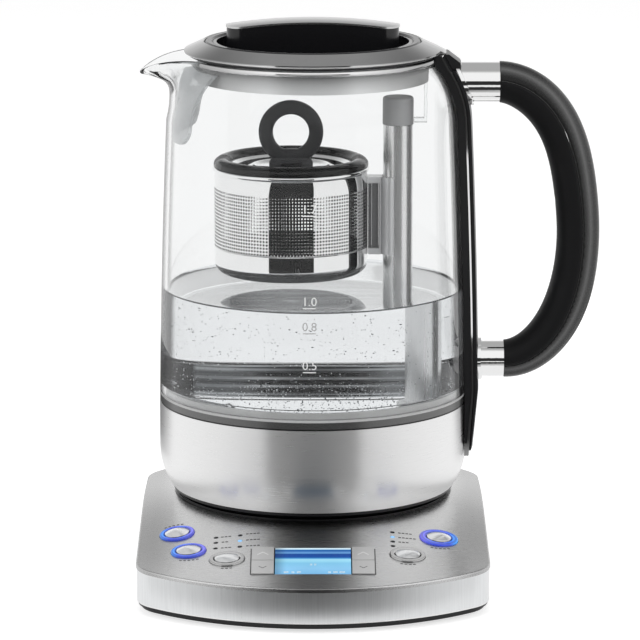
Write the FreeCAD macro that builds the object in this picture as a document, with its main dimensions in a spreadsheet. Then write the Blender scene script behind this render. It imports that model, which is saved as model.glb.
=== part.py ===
"""Automatic tea maker: a glass kettle with a lifting tea basket, on its power base.

Millimetres, +Z up. The origin is on the kettle's axis, in the plane that the feet stand on.
The handle points along +X and the control panel faces -Y.
"""
import FreeCAD, Part
import Sketcher
import math
import os

from FreeCAD import Placement, Rotation, Vector

doc = FreeCAD.newDocument("tea_maker")
sheet = doc.addObject("Spreadsheet::Sheet", "sizes")

# ---------------------------------------------------------------- driving dimensions

DIMENSIONS = {
    # clearances
    "fit_gap": 0.2,              # between pieces that are fixed together
    "run_gap": 0.35,             # between pieces that move
    # base outline
    "base_half_width": 83.2,
    "base_back_reach": 86.0,
    "base_back_corner": 34.0,
    "base_front_reach": 144.2,
    "base_front_radius": 114.0,
    "base_front_corner": 22.0,
    # feet
    "foot_height": 2.0,
    "foot_ring_radius": 64.0,
    "foot_ring_width": 7.0,
    "front_foot_radius": 8.0,
    "front_foot_spread": 56.0,
    "front_foot_reach": 104.0,
    # tray
    "tray_inset": 1.2,
    "tray_floor": 2.8,
    "tray_bevel": 1.4,
    "tray_wall": 2.0,
    "boss_radius": 3.6,
    "boss_front_x": 71.5,
    "boss_front_y": 95.0,
    "boss_back_x": 62.0,
    "boss_back_y": 60.0,
    "post_radius": 3.5,
    "standoff_radius": 2.4,
    "column_radius": 16.5,
    "column_wall": 3.0,
    # screws
    "screw_head_radius": 3.0,
    "screw_head_height": 1.6,
    "screw_radius": 1.5,
    "screw_length": 14.0,
    # steel deck and band
    "deck_thickness": 2.0,
    "deck_inner_height": 34.2,
    "deck_flat_radius": 68.0,
    "deck_front_height": 21.5,
    "deck_outer_radius": 150.0,
    "deck_curve_radius": 390.0,
    "deck_edge_round": 0.8,
    "band_inset": 0.5,
    "band_thickness": 1.4,
    # seat and connector
    "seat_radius": 65.9,
    "seat_proud": 0.5,
    "seat_rim_width": 9.0,
    "seat_recess": 1.5,
    "seat_flange": 2.4,
    "seat_flange_thickness": 1.2,
    "plug_radius": 11.9,
    "plug_rise": 10.3,
    "plug_bore_radius": 7.6,
    "plug_bore_depth": 12.0,
    "plug_flange_radius": 15.2,
    "plug_flange_thickness": 1.3,
    "pin_radius": 2.4,
    "contact_ring_wall": 0.4,
    "contact_height": 10.0,
    # cord inlet
    "gland_bore_radius": 3.6,
    "gland_neck_radius": 5.6,
    "gland_flange_radius": 7.6,
    "gland_flange_thickness": 2.6,
    "gland_height": 14.0,
    # boards
    "board_thickness": 1.6,
    "panel_board_half_width": 66.0,
    "panel_board_front": 113.0,
    "panel_board_back": 61.0,
    "panel_board_height": 11.0,
    "power_board_half_width": 48.0,
    "power_board_front": 24.0,
    "power_board_back": 72.0,
    "power_board_height": 9.0,
    "relay_height": 15.0,
    "transformer_height": 13.0,
    "buzzer_radius": 5.0,
    "buzzer_height": 6.0,
    "relay_x": 12.0,
    "relay_width": 20.0,
    "relay_depth": 28.0,
    "transformer_x": -34.0,
    "transformer_width": 26.0,
    "transformer_depth": 24.0,
    "component_gap": 10.0,
    # round buttons
    "button_radius": 5.75,
    "button_dome": 1.3,
    "button_proud": 0.9,
    "button_depth": 4.3,
    "button_flange_radius": 7.3,
    "button_flange_thickness": 1.0,
    "button_stem_radius": 2.2,
    "button_travel": 1.0,
    "ring_radius": 8.4,
    "ring_proud": 0.9,
    "ring_depth": 4.0,
    "ring_flange_radius": 9.8,
    "ring_flange_depth": 2.5,
    "hot_water_ring_radius": 9.2,
    "switch_size": 6.0,
    "switch_height": 3.6,
    # display and its keys
    "panel_centre_y": 108.75,
    "display_width": 35.5,
    "display_depth": 31.0,
    "display_thickness": 2.3,
    "module_margin": 1.2,
    "module_thickness": 4.0,
    "key_width": 10.8,
    "key_proud": 0.6,
    "key_thickness": 2.4,
    "key_stem": 3.6,
    "key_travel": 0.8,
    # lamps beside the buttons
    "lamp_radius": 1.0,
    "lamp_proud": 0.35,
    "lamp_depth": 2.2,
    # kettle's metal housing
    "kettle_rest_gap": 0.3,
    "housing_radius": 74.9,
    "housing_wall": 1.2,
    "housing_round": 32.0,
    "housing_bottom": 38.5,
    "housing_tangent": 57.0,
    "housing_top": 80.0,
    "housing_lip": 3.6,
    "underside_floor": 2.6,
    "underside_bevel": 2.0,
    "socket_wall_radius": 22.0,
    "socket_wall": 2.4,
    "socket_ledge_radius": 14.9,
    "socket_ledge_height": 44.6,
    "socket_ledge_thickness": 2.0,
    "socket_top": 50.0,
    # connector half in the kettle
    "socket_tube_outer": 6.8,
    "socket_tube_inner": 3.2,
    "socket_tube_bottom": 36.2,
    "socket_skirt_outer": 14.2,
    "socket_skirt_inner": 12.6,
    "socket_skirt_bottom": 39.0,
    "socket_flange_thickness": 3.0,
    "control_radius": 17.0,
    "control_height": 8.0,
    # heater
    "plate_thickness": 1.5,
    "plate_drop": 0.2,
    "element_radius": 58.0,
    "element_tube": 3.2,
    "element_angle": 330.0,
    "element_pin_length": 12.0,
    "sensor_x": -38.0,
    "sensor_y": -50.0,
    "sensor_radius": 2.4,
    "sensor_base_radius": 4.2,
    "sensor_height": 9.0,
    # glass
    "seal_height": 4.9,
    "seal_width": 6.8,
    "seal_lip_height": 3.0,
    "seal_lip_width": 1.9,
    "glass_base_radius": 74.8,
    "glass_wall": 2.8,
    "glass_side_curve": 4000.0,
    "shoulder_radius": 70.9,
    "shoulder_height": 218.0,
    "shoulder_curve": 46.0,
    "neck_radius": 59.4,
    "glass_top": 249.2,
    # spout
    "spout_reach": 83.5,
    "spout_tip_top": 243.0,
    "spout_tip_bottom": 237.5,
    "spout_tip_half_width": 4.2,
    "spout_root_reach": 58.0,
    "spout_root_bottom": 225.0,
    "spout_root_half_width": 26.0,
    "spout_back": 20.0,
    "spout_mid_half_width": 15.6,
    "spout_mid_bottom": 233.9,
    "spout_rim_fall": 0.9,
    "spout_wall": 2.4,
    "filter_half_width": 35.0,
    "filter_bottom": 209.5,
    "filter_top": 243.0,
    "filter_thickness": 1.2,
    "filter_gap": 0.6,
    "filter_corner": 9.0,
    "filter_slot_width": 1.6,
    "filter_slot_height": 16.0,
    "filter_slot_pitch": 4.4,
    "filter_slot_count": 9,
    # collar
    "collar_radius": 62.0,
    "collar_mouth": 52.3,
    "collar_edge_height": 251.0,
    "collar_edge": 0.9,
    "collar_top": 256.2,
    "collar_ledge_radius": 50.6,
    "collar_ledge_height": 252.6,
    "collar_thickness": 1.6,
    "skirt_radius": 55.6,
    "skirt_wall": 1.6,
    "skirt_bottom": 237.0,
    "neck_seal_height": 0.9,
    "band_bead_radius": 60.7,
    "band_bead_height": 2.4,
    "band_bead_drop": 0.3,
    "lug_reach": 64.4,
    "lug_half_width": 9.0,
    # lid
    "lid_rim_width": 3.7,
    "lid_rim_top": 256.4,
    "lid_bowl_wall": 1.6,
    "lid_bowl_floor": 241.5,
    "lid_bowl_chamfer": 3.6,
    "lid_skirt_bottom": 238.0,
    "lid_skirt_wall": 1.2,
    "grasp_half_length": 41.5,
    "grasp_half_width": 9.5,
    "grasp_corner": 8.6,
    "grasp_top": 267.0,
    "grasp_plate": 0.9,
    "grasp_plate_overhang": 0.4,
    "grasp_arch_radius": 275.0,
    "grasp_crown_radius": 45.4,
    # handle bracket
    "bracket_half_width": 15.0,
    "bracket_thickness": 3.4,
    "trim_thickness": 0.8,
    "trim_overhang": 0.3,
    "cover_thickness": 1.4,
    "cover_half_width": 12.5,
    "bracket_foot_height": 60.4,
    "bracket_foot_thickness": 1.2,
    "trim_foot_height": 54.0,
    "cover_foot_height": 56.0,
    "bracket_top": 250.3,
    "bracket_shoulder": 244.5,
    "bracket_top_radius": 62.8,
    "block_half_width": 9.0,
    "block_bottom": 241.0,
    "block_shoulder": 246.2,
    "block_reach": 71.4,
    "block_lead": 3.2,
    # ferrules and grip
    "upper_ferrule_end": 90.0,
    "upper_ferrule_height": 235.9,
    "upper_ferrule_half": 9.6,
    "lower_ferrule_end": 93.0,
    "lower_ferrule_height": 99.5,
    "lower_ferrule_half": 8.7,
    "ferrule_extra_width": 1.2,
    "ferrule_flange": 1.6,
    "ferrule_flange_thickness": 1.5,
    "grip_reach": 128.8,
    "grip_parting": 1.6,
    # post and lift drive
    "post_x": 41.2,
    "tube_radius": 7.25,
    "tube_wall": 1.0,
    "tube_bottom": 70.1,
    "tube_top": 215.2,
    "tube_flange_radius": 10.5,
    "tube_flange_thickness": 1.2,
    "cap_radius": 7.5,
    "cap_height": 13.6,
    "cap_plug": 5.0,
    "cap_round": 1.5,
    "stay_width": 5.0,
    "stay_thickness": 1.3,
    "stay_x": 53.8,
    "stay_low": 216.3,
    "motor_radius": 10.0,
    "motor_height": 20.0,
    "screw_shaft_radius": 2.5,
    "screw_socket_depth": 4.0,
    "carriage_height": 34.0,
    # tea basket
    "basket_x": -10.6,
    "basket_radius": 37.2,
    "basket_wall": 0.8,
    "basket_bottom": 143.0,
    "basket_round": 6.0,
    "basket_top": 195.2,
    "basket_bead": 1.0,
    "basket_bead_height": 1.5,
    "bracket_low": 152.0,
    "bracket_high": 190.0,
    "bracket_frame_width": 8.0,
    "bracket_frame_bar": 1.6,
    "saddle_wall": 0.9,
    "saddle_angle": 75.0,
    # basket lid
    "tea_lid_ring_inner": 23.2,
    "tea_lid_edge": 1.0,
    "tea_lid_dome_radius": 13.0,
    "tea_lid_plug_depth": 4.0,
    "tea_lid_plug_wall": 1.8,
    "tea_lid_disc_thickness": 1.0,
    "tea_lid_disc_dish": 1.8,
    "loop_ring_radius": 12.2,
    "loop_bar_radius": 3.3,
    "loop_height": 211.4,
    "loop_foot_half_width": 8.8,
    "loop_bridge_thickness": 1.7,
}

ROUND_BUTTONS = {
    # name: (across, towards the front)
    "auto_start_button": (-64.7, 68.0),
    "keep_warm_button": (-58.6, 91.0),
    "tea_button": (-40.3, 104.0),
    "strength_button": (44.4, 98.6),
    "hot_water_button": (59.7, 75.2),
}
GLOWING_BUTTONS = ("auto_start_button", "keep_warm_button", "hot_water_button")
KEYS = {
    # name: (side, row), row 1 at the back of the pair
    "temperature_up_key": (-1, 1),
    "temperature_down_key": (-1, -1),
    "time_up_key": (1, 1),
    "time_down_key": (1, -1),
}
TEA_LAMP_COLUMNS = (-46.0, -34.5)
TEA_LAMP_ROWS = (77.7, 83.5, 90.0)
STRENGTH_LAMP_COLUMN = 37.7
STRENGTH_LAMP_ROWS = (73.8, 78.8, 83.8, 88.8)
SEAT_POSTS = ((-60.0, 6.0), (60.0, 6.0), (-32.0, -48.0), (32.0, -48.0))
PANEL_STANDOFFS = ((-52.0, -70.0), (52.0, -68.0), (-30.0, -108.0), (30.0, -106.0))
POWER_STANDOFFS = ((-42.0, 30.0), (42.0, 30.0), (-42.0, 66.0), (42.0, 66.0))
# the grip's centre line from the upper ferrule to the lower one: (out from the
# farthest point, height, half thickness)
GRIP_STATIONS = (
    (-38.6, 235.9, 10.0),
    (-26.8, 232.4, 10.4),
    (-13.9, 221.0, 10.6),
    (-3.8, 197.0, 10.5),
    (0.0, 165.0, 10.4),
    (-2.5, 137.5, 10.5),
    (-12.2, 114.2, 10.3),
    (-22.3, 103.9, 9.8),
    (-35.6, 99.5, 9.0),
)

for row, (alias, number) in enumerate(DIMENSIONS.items(), start=1):
    sheet.set("A%d" % row, alias)
    sheet.set("B%d" % row, repr(number))
    sheet.setAlias("B%d" % row, alias)
doc.recompute()


class Size:
    """A number together with the sheet expression that it comes from."""

    def __init__(self, value, text):
        self.value = float(value)
        self.text = text

    def __add__(self, other):
        other = as_size(other)
        return Size(self.value + other.value, "(%s + %s)" % (self.text, other.text))

    def __sub__(self, other):
        other = as_size(other)
        return Size(self.value - other.value, "(%s - %s)" % (self.text, other.text))

    def __mul__(self, other):
        other = as_size(other)
        return Size(self.value * other.value, "(%s * %s)" % (self.text, other.text))

    def __truediv__(self, other):
        other = as_size(other)
        return Size(self.value / other.value, "(%s / %s)" % (self.text, other.text))

    def __radd__(self, other):
        return as_size(other) + self

    def __rsub__(self, other):
        return as_size(other) - self

    def __rmul__(self, other):
        return as_size(other) * self

    def __neg__(self):
        return Size(-self.value, "(-1 * %s)" % self.text)


def as_size(thing):
    """The thing itself when it is a Size, or a plain number made into one."""
    if isinstance(thing, Size):
        return thing
    return Size(thing, "(%s)" % repr(float(thing)))


def root(size):
    """The square root of a Size."""
    return Size(math.sqrt(size.value), "sqrt(%s)" % size.text)


class SheetSizes:
    """Reads the sheet: d.glass_wall is the Size behind the alias glass_wall."""

    def __getattr__(self, alias):
        return Size(sheet.get(alias), "sizes." + alias)


d = SheetSizes()
nodes = {}

# ---------------------------------------------------------------- helpers


def add_node(name, thing):
    """Register an object as the sub-part that is written to parts/name.step."""
    thing.Label = name
    nodes[name] = thing
    return thing


def bind(thing, prop, size):
    """Give a property its value and bind it to the sheet."""
    size = as_size(size)
    thing.setExpression(prop, size.text)


def place(thing, x=0.0, y=0.0, z=0.0):
    """Bind the three coordinates of a Placement to the sheet."""
    for axis, size in zip("xyz", (x, y, z)):
        bind(thing, "Placement.Base." + axis, size)
    return thing


def arc_centre(start, end, radius, side):
    """Centre of the short arc from start to end; side 1 has it on the left."""
    middle = (start + end) * 0.5
    half = (end - start) * 0.5
    left = Vector(-half.y, half.x, 0).normalize()
    return middle + left * (side * math.sqrt(radius ** 2 - half.Length ** 2))


def angle_of(point, centre):
    """Angle of a point seen from a centre, in the sketch plane."""
    return math.atan2(point.y - centre.y, point.x - centre.x)


def closed_sketch(body, role, corners):
    """A fully constrained closed outline on one of the body's own origin planes.

    A corner is (across, up), or (across, up, radius, side) where an arc leads to the next.
    """
    sketch = body.newObject("Sketcher::SketchObject", body.Name + "_outline")
    plane = [item for item in body.Origin.OriginFeatures if item.Role == role][0]
    sketch.AttachmentSupport = [(plane, "")]
    sketch.MapMode = "FlatFace"
    points = [Vector(as_size(c[0]).value, as_size(c[1]).value, 0) for c in corners]
    count = len(corners)
    first_ends = []
    last_ends = []
    for index, corner in enumerate(corners):
        start = points[index]
        end = points[(index + 1) % count]
        if len(corner) == 2:
            sketch.addGeometry(Part.LineSegment(start, end), False)
            first_ends.append(1)
            last_ends.append(2)
            continue
        radius = as_size(corner[2]).value
        side = corner[3]
        centre = arc_centre(start, end, radius, side)
        low, high = (start, end) if side > 0 else (end, start)
        low_angle = angle_of(low, centre)
        high_angle = angle_of(high, centre)
        if high_angle < low_angle:
            high_angle += 2 * math.pi
        circle = Part.Circle(centre, Vector(0, 0, 1), radius)
        sketch.addGeometry(Part.ArcOfCircle(circle, low_angle, high_angle), False)
        first_ends.append(1 if side > 0 else 2)
        last_ends.append(2 if side > 0 else 1)
    constrain(sketch, corners, first_ends, last_ends)
    return sketch


def constrain(sketch, corners, first_ends, last_ends):
    """Join the edges of an outline and bind each corner and radius to the sheet."""
    count = len(corners)
    bound = []
    constraints = []
    for index, corner in enumerate(corners):
        after = (index + 1) % count
        joint = ("Coincident", index, last_ends[index], after, first_ends[after])
        constraints.append((joint, None))
        across = as_size(corner[0])
        up = as_size(corner[1])
        end = first_ends[index]
        constraints.append((("DistanceX", -1, 1, index, end, across.value), across))
        constraints.append((("DistanceY", -1, 1, index, end, up.value), up))
        if len(corner) > 2:
            radius = as_size(corner[2])
            constraints.append((("Radius", index, radius.value), radius))
    for number, (arguments, size) in enumerate(constraints):
        sketch.addConstraint(Sketcher.Constraint(*arguments))
        if size is not None:
            bound.append((number, size))
    for number, size in bound:
        sketch.setExpression("Constraints[%d]" % number, size.text)


def revolved(name, corners):
    """A body turned about its own Z axis from an outline of (radius, height) corners."""
    body = doc.addObject("PartDesign::Body", name)
    sketch = closed_sketch(body, "XZ_Plane", corners)
    turn = body.newObject("PartDesign::Revolution", name + "_turn")
    turn.Profile = sketch
    turn.ReferenceAxis = (sketch, ["V_Axis"])
    turn.Angle = 360.0
    body.Tip = turn
    return body


def padded(name, corners, low, height):
    """A body extruded upwards from an outline of (x, y) corners at a height."""
    body = doc.addObject("PartDesign::Body", name)
    sketch = closed_sketch(body, "XY_Plane", corners)
    pad = body.newObject("PartDesign::Pad", name + "_pad")
    pad.Profile = sketch
    bind(pad, "Length", height)
    body.Tip = pad
    return place(body, z=low)


def side_padded(name, corners, half_width):
    """A body extruded both ways along Y from an outline of (x, z) corners."""
    body = doc.addObject("PartDesign::Body", name)
    sketch = closed_sketch(body, "XZ_Plane", corners)
    pad = body.newObject("PartDesign::Pad", name + "_pad")
    pad.Profile = sketch
    bind(pad, "Length", half_width * 2)
    body.Tip = pad
    return place(body, y=half_width)


def cylinder(name, radius, height, x=0.0, y=0.0, z=0.0):
    """An upright cylinder standing at a place."""
    thing = doc.addObject("Part::Cylinder", name)
    bind(thing, "Radius", radius)
    bind(thing, "Height", height)
    return place(thing, x, y, z)


def tilted_cylinder(name, radius, low, high, frame):
    """A cylinder along the local Z axis of a frame, from low to high."""
    thing = doc.addObject("Part::Cylinder", name)
    bind(thing, "Radius", radius)
    bind(thing, "Height", as_size(high) - low)
    thing.Placement = frame.multiply(Placement(Vector(0, 0, as_size(low).value), Rotation()))
    return thing


def box(name, low, high):
    """A box between two corners."""
    thing = doc.addObject("Part::Box", name)
    for prop, start, end in zip(("Length", "Width", "Height"), low, high):
        bind(thing, prop, as_size(end) - start)
    return place(thing, *low)


def tilted_box(name, low, high, frame):
    """A box between two corners in the local axes of a frame."""
    thing = doc.addObject("Part::Box", name)
    for prop, start, end in zip(("Length", "Width", "Height"), low, high):
        bind(thing, prop, as_size(end) - start)
    corner = Vector(*[as_size(start).value for start in low])
    thing.Placement = frame.multiply(Placement(corner, Rotation()))
    return thing


def boolean(kind, name, base, tools):
    """Cut, fuse or intersect a base with each tool in turn."""
    for number, tool in enumerate(tools):
        result = doc.addObject("Part::" + kind, "%s_%s_%d" % (name, kind.lower(), number))
        result.Base = base
        result.Tool = tool
        base = result
    return base


def cut(name, base, *tools):
    """The base without the tools."""
    return boolean("Cut", name, base, tools)


def fused(name, base, *tools):
    """The base and the tools as one solid."""
    return boolean("Fuse", name, base, tools)


def common(name, base, *tools):
    """What the base and the tools share."""
    return boolean("Common", name, base, tools)


def group(name, things):
    """Separate solids that share one node."""
    compound = doc.addObject("Part::Compound", name + "_group")
    compound.Links = things
    return compound


def shaped(name, shape):
    """An object that holds a shape worked out by a function."""
    thing = doc.addObject("Part::Feature", name)
    thing.Shape = shape
    return thing


# ---------------------------------------------------------------- levels and surfaces

tray_top = d.foot_height + d.tray_floor
seat_top = d.deck_inner_height + d.seat_proud
seat_flange_top = d.deck_inner_height - d.deck_thickness - d.fit_gap
seat_bottom = seat_flange_top - d.seat_flange_thickness
column_top = seat_bottom - d.fit_gap - d.plug_flange_thickness
kettle_bottom = seat_top + d.kettle_rest_gap
switch_top = d.panel_board_height + d.board_thickness + d.switch_height


def base_outline(inset):
    """Corners of the base's plan, moved inwards by an inset."""
    half = d.base_half_width - inset
    back = d.base_back_reach - inset
    back_round = d.base_back_corner - inset
    front_round = d.base_front_corner - inset
    bow = d.base_front_radius - inset
    bow_centre = d.base_front_radius - d.base_front_reach
    corner_x = half - front_round
    bow_minus = bow - front_round
    corner_y = bow_centre - root(bow_minus * bow_minus - corner_x * corner_x)
    share = bow / bow_minus
    meet_x = corner_x * share
    meet_y = bow_centre + (corner_y - bow_centre) * share
    return [
        (half, corner_y),
        (half, back - back_round, back_round, 1),
        (half - back_round, back),
        (back_round - half, back, back_round, 1),
        (-half, back - back_round),
        (-half, corner_y, front_round, 1),
        (-meet_x, meet_y, bow, 1),
        (meet_x, meet_y, front_round, 1),
    ]


def base_prism(name, inset, low, height):
    """An upright prism with the base's plan."""
    return padded(name, base_outline(inset), low, height)


def deck_height(radius):
    """Height of the deck's top at a radius, as a plain number."""
    start = Vector(d.deck_flat_radius.value, d.deck_inner_height.value, 0)
    end = Vector(d.deck_outer_radius.value, d.deck_front_height.value, 0)
    curve = d.deck_curve_radius.value
    centre = arc_centre(start, end, curve, 1)
    return centre.y - math.sqrt(curve ** 2 - (radius - centre.x) ** 2)


def deck_frame(x, front):
    """Placement on the deck's top with local Z along the surface normal."""
    y = -front
    radius = math.hypot(x, y)
    step = 0.01
    slope = (deck_height(radius + step) - deck_height(radius - step)) / (2 * step)
    normal = Vector(-slope * x / radius, -slope * y / radius, 1).normalize()
    across = Vector(1, 0, 0) - normal * normal.x
    across.normalize()
    rotation = Rotation(across, normal.cross(across), normal, "ZXY")
    return Placement(Vector(x, y, deck_height(radius)), rotation)


def drop_to_switch(frame, start, half):
    """Distance down the local axis from a start point until a stem of that half width
    would meet the switches' level top with its lower edge."""
    normal = frame.Rotation.multVec(Vector(0, 0, 1))
    slope = math.hypot(normal.x, normal.y) / normal.z
    return (start.z - switch_top.value) / normal.z - half * slope


def under_deck(name, gap):
    """The space under the deck, down to the floor plane."""
    inner = d.deck_inner_height - d.deck_thickness - gap
    outer = d.deck_front_height - d.deck_thickness - gap
    return revolved(name, [
        (0, 0),
        (d.deck_outer_radius, 0),
        (d.deck_outer_radius, outer, d.deck_curve_radius, -1),
        (d.deck_flat_radius, inner),
        (0, inner),
    ])


# the glass side is a slow curve, and the shoulder is a tighter one that carries on from it
side_across = d.shoulder_radius - d.glass_base_radius
glass_bottom = d.housing_top + d.fit_gap / 2 + d.seal_height + d.fit_gap
side_up = d.shoulder_height - glass_bottom
side_chord = root(side_across * side_across + side_up * side_up)
side_reach = root(d.glass_side_curve * d.glass_side_curve - side_chord * side_chord / 4)
side_share = side_reach / side_chord
side_centre_r = (d.shoulder_radius + d.glass_base_radius) / 2 - side_share * side_up
side_centre_z = (d.shoulder_height + glass_bottom) / 2 + side_share * side_across
lean_r = (d.shoulder_radius - side_centre_r) / d.glass_side_curve
lean_z = (d.shoulder_height - side_centre_z) / d.glass_side_curve
shoulder_centre_r = d.shoulder_radius - d.shoulder_curve * lean_r
shoulder_centre_z = d.shoulder_height - d.shoulder_curve * lean_z


def side_radius(height, offset):
    """Radius of the glass side's outside, moved out by an offset, at a height."""
    curve = d.glass_side_curve + offset
    rise = as_size(height) - side_centre_z
    return side_centre_r + root(curve * curve - rise * rise)


def shoulder_point(offset):
    """Where the side curve turns into the shoulder curve."""
    curve = d.shoulder_curve + offset
    return shoulder_centre_r + curve * lean_r, shoulder_centre_z + curve * lean_z


def shoulder_radius_at(height, offset):
    """Radius of the shoulder's outside, moved out by an offset, at a height."""
    curve = d.shoulder_curve + offset
    rise = as_size(height) - shoulder_centre_z
    return shoulder_centre_r + root(curve * curve - rise * rise)


def shoulder_height_at(radius, offset):
    """Height of the shoulder's outside, moved out by an offset, at a radius."""
    curve = d.shoulder_curve + offset
    run = as_size(radius) - shoulder_centre_r
    return shoulder_centre_z + root(curve * curve - run * run)


def wall_up(offset, low, high):
    """Outline corners up the outside of the glass, from one height to another."""
    turn = shoulder_point(offset)
    return [
        (side_radius(low, offset), low, d.glass_side_curve + offset, 1),
        (turn[0], turn[1], d.shoulder_curve + offset, 1),
        (shoulder_radius_at(high, offset), high),
    ]


def wall_down(offset, high, low):
    """The same corners the other way."""
    turn = shoulder_point(offset)
    return [
        (shoulder_radius_at(high, offset), high, d.shoulder_curve + offset, -1),
        (turn[0], turn[1], d.glass_side_curve + offset, -1),
        (side_radius(low, offset), low),
    ]


# ---------------------------------------------------------------- base: tray, band, deck, seat


def make_feet():
    """A rubber ring under the kettle's seat and two pads under the panel."""
    ring = cut(
        "foot_ring",
        cylinder("foot_ring_outer", d.foot_ring_radius, d.foot_height),
        cylinder("foot_ring_inner", d.foot_ring_radius - d.foot_ring_width, d.foot_height),
    )
    pads = [
        cylinder("front_pad_%s" % side, d.front_foot_radius, d.foot_height,
                 x=sign * d.front_foot_spread, y=-d.front_foot_reach)
        for side, sign in (("left", -1), ("right", 1))
    ]
    add_node("base_feet", group("base_feet", [ring] + pads))


def boss_places():
    """Where the tray's four screw bosses stand."""
    places = []
    for sign in (-1, 1):
        places.append((sign * d.boss_front_x, -d.boss_front_y))
        places.append((sign * d.boss_back_x, d.boss_back_y))
    return places


def make_tray():
    """The black tray: floor, wall, bosses, posts and the connector's column."""
    wall_inset = d.band_inset + d.band_thickness + d.fit_gap
    floor = base_prism("tray_floor_plate", d.tray_inset, d.foot_height + d.tray_bevel,
                       d.tray_floor - d.tray_bevel)
    sole = base_prism("tray_sole", d.tray_inset + d.tray_bevel, d.foot_height, d.tray_floor)
    wall_height = d.deck_inner_height - d.foot_height
    wall = cut(
        "tray_wall",
        base_prism("tray_wall_outer", wall_inset, d.foot_height + d.tray_bevel, wall_height),
        base_prism("tray_wall_inner", wall_inset + d.tray_wall, d.foot_height, wall_height * 2),
    )
    pieces = [sole, wall]
    for number, (x, y) in enumerate(boss_places()):
        pieces.append(cylinder("tray_boss_%d" % number, d.boss_radius,
                               d.deck_inner_height - tray_top, x, y, tray_top))
    for number, (x, y) in enumerate(SEAT_POSTS):
        pieces.append(cylinder("seat_post_%d" % number, d.post_radius,
                               seat_bottom - tray_top, x, y, tray_top))
    for number, (x, y) in enumerate(PANEL_STANDOFFS):
        pieces.append(cylinder("panel_standoff_%d" % number, d.standoff_radius,
                               d.panel_board_height - tray_top, x, y, tray_top))
    for number, (x, y) in enumerate(POWER_STANDOFFS):
        pieces.append(cylinder("power_standoff_%d" % number, d.standoff_radius,
                               d.power_board_height - tray_top, x, y, tray_top))
    pieces.append(cylinder("connector_column", d.column_radius, column_top - tray_top, z=tray_top))
    tray = fused("tray_body", floor, *pieces)
    tray = common("tray_trimmed", tray, under_deck("tray_ceiling", d.fit_gap))
    holes = [cylinder("column_bore", d.column_radius - d.column_wall,
                      column_top - tray_top, z=tray_top)]
    for number, (x, y) in enumerate(boss_places()):
        holes.append(cylinder("screw_head_recess_%d" % number, d.screw_head_radius + d.fit_gap,
                              d.screw_head_height + d.fit_gap, x, y, d.foot_height))
        holes.append(cylinder("screw_hole_%d" % number, d.screw_radius + d.fit_gap / 2,
                              d.screw_length + d.fit_gap, x, y, d.foot_height))
    holes.append(gland_hole("tray_gland_hole"))
    add_node("base_tray", cut("tray_drilled", tray, *holes))


def make_base_screws():
    """Four screws up into the tray's bosses."""
    screws = []
    for number, (x, y) in enumerate(boss_places()):
        low = d.foot_height + d.fit_gap / 2
        head = cylinder("screw_head_%d" % number, d.screw_head_radius,
                        d.screw_head_height, x, y, low)
        shank = cylinder("screw_shank_%d" % number, d.screw_radius,
                         d.screw_length - d.fit_gap, x, y, low)
        screws.append(fused("tray_screw_%d" % number, head, shank))
    add_node("base_screws", group("base_screws", screws))


def along_y(name, radius, low, high):
    """A cylinder along +Y at the gland's height, from low to high."""
    thing = doc.addObject("Part::Cylinder", name)
    bind(thing, "Radius", radius)
    bind(thing, "Height", as_size(high) - low)
    thing.Placement = Placement(Vector(0, 0, 0), Rotation(Vector(1, 0, 0), -90))
    return place(thing, 0.0, low, d.gland_height)


def gland_hole(name):
    """The hole for the gland's neck, through the band and the tray's wall."""
    deep = d.base_back_reach - d.tray_wall * 4
    return along_y(name, d.gland_neck_radius + d.fit_gap, deep, d.base_back_reach + d.tray_wall)


def make_gland():
    """The cord's bushing in the back of the base."""
    outside = d.base_back_reach - d.band_inset
    inside = outside - d.band_thickness - d.fit_gap - d.tray_wall
    outer_end = outside + d.fit_gap / 2 + d.gland_flange_thickness
    inner_end = inside - d.fit_gap - d.gland_flange_thickness
    neck = along_y("gland_neck", d.gland_neck_radius, inner_end, outer_end)
    flange = along_y("gland_outer_flange", d.gland_flange_radius,
                     outside + d.fit_gap / 2, outer_end)
    back = along_y("gland_inner_flange", d.gland_flange_radius, inner_end, inside - d.fit_gap)
    bore = along_y("gland_bore", d.gland_bore_radius, inner_end - 1, outer_end + 1)
    add_node("cord_gland", cut("gland", fused("gland_body", neck, flange, back), bore))


def make_band():
    """The brushed steel band round the base."""
    low = tray_top + d.fit_gap
    ring = cut(
        "band_ring",
        base_prism("band_outer", d.band_inset, low, d.deck_inner_height),
        base_prism("band_inner", d.band_inset + d.band_thickness, d.foot_height,
                   d.deck_inner_height * 2),
    )
    band = common("band_trimmed", ring, under_deck("band_ceiling", d.fit_gap))
    add_node("base_band", cut("band_drilled", band, gland_hole("band_gland_hole")))


def panel_frame():
    """The placement in the middle of the display, on the deck."""
    return deck_frame(0.0, d.panel_centre_y.value)


def deck_holes():
    """Tools that open the deck for buttons, lamps and the display."""
    tools = []
    for name, (x, front) in ROUND_BUTTONS.items():
        radius = ring_outer(name) + d.fit_gap
        tools.append(tilted_cylinder("hole_" + name, radius, -d.ring_depth * 2,
                                     d.ring_depth * 2, deck_frame(x, front)))
    for number, (x, front) in enumerate(lamp_places()):
        tools.append(tilted_cylinder("lamp_hole_%d" % number, d.lamp_radius + d.fit_gap,
                                     -d.ring_depth, d.ring_depth, deck_frame(x, front)))
    half = key_outer_edge() + d.fit_gap
    deep = d.display_depth / 2 + d.fit_gap
    tools.append(tilted_box("display_opening", (-half, -deep, -d.ring_depth * 2),
                            (half, deep, d.ring_depth * 2), panel_frame()))
    return tools


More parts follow.
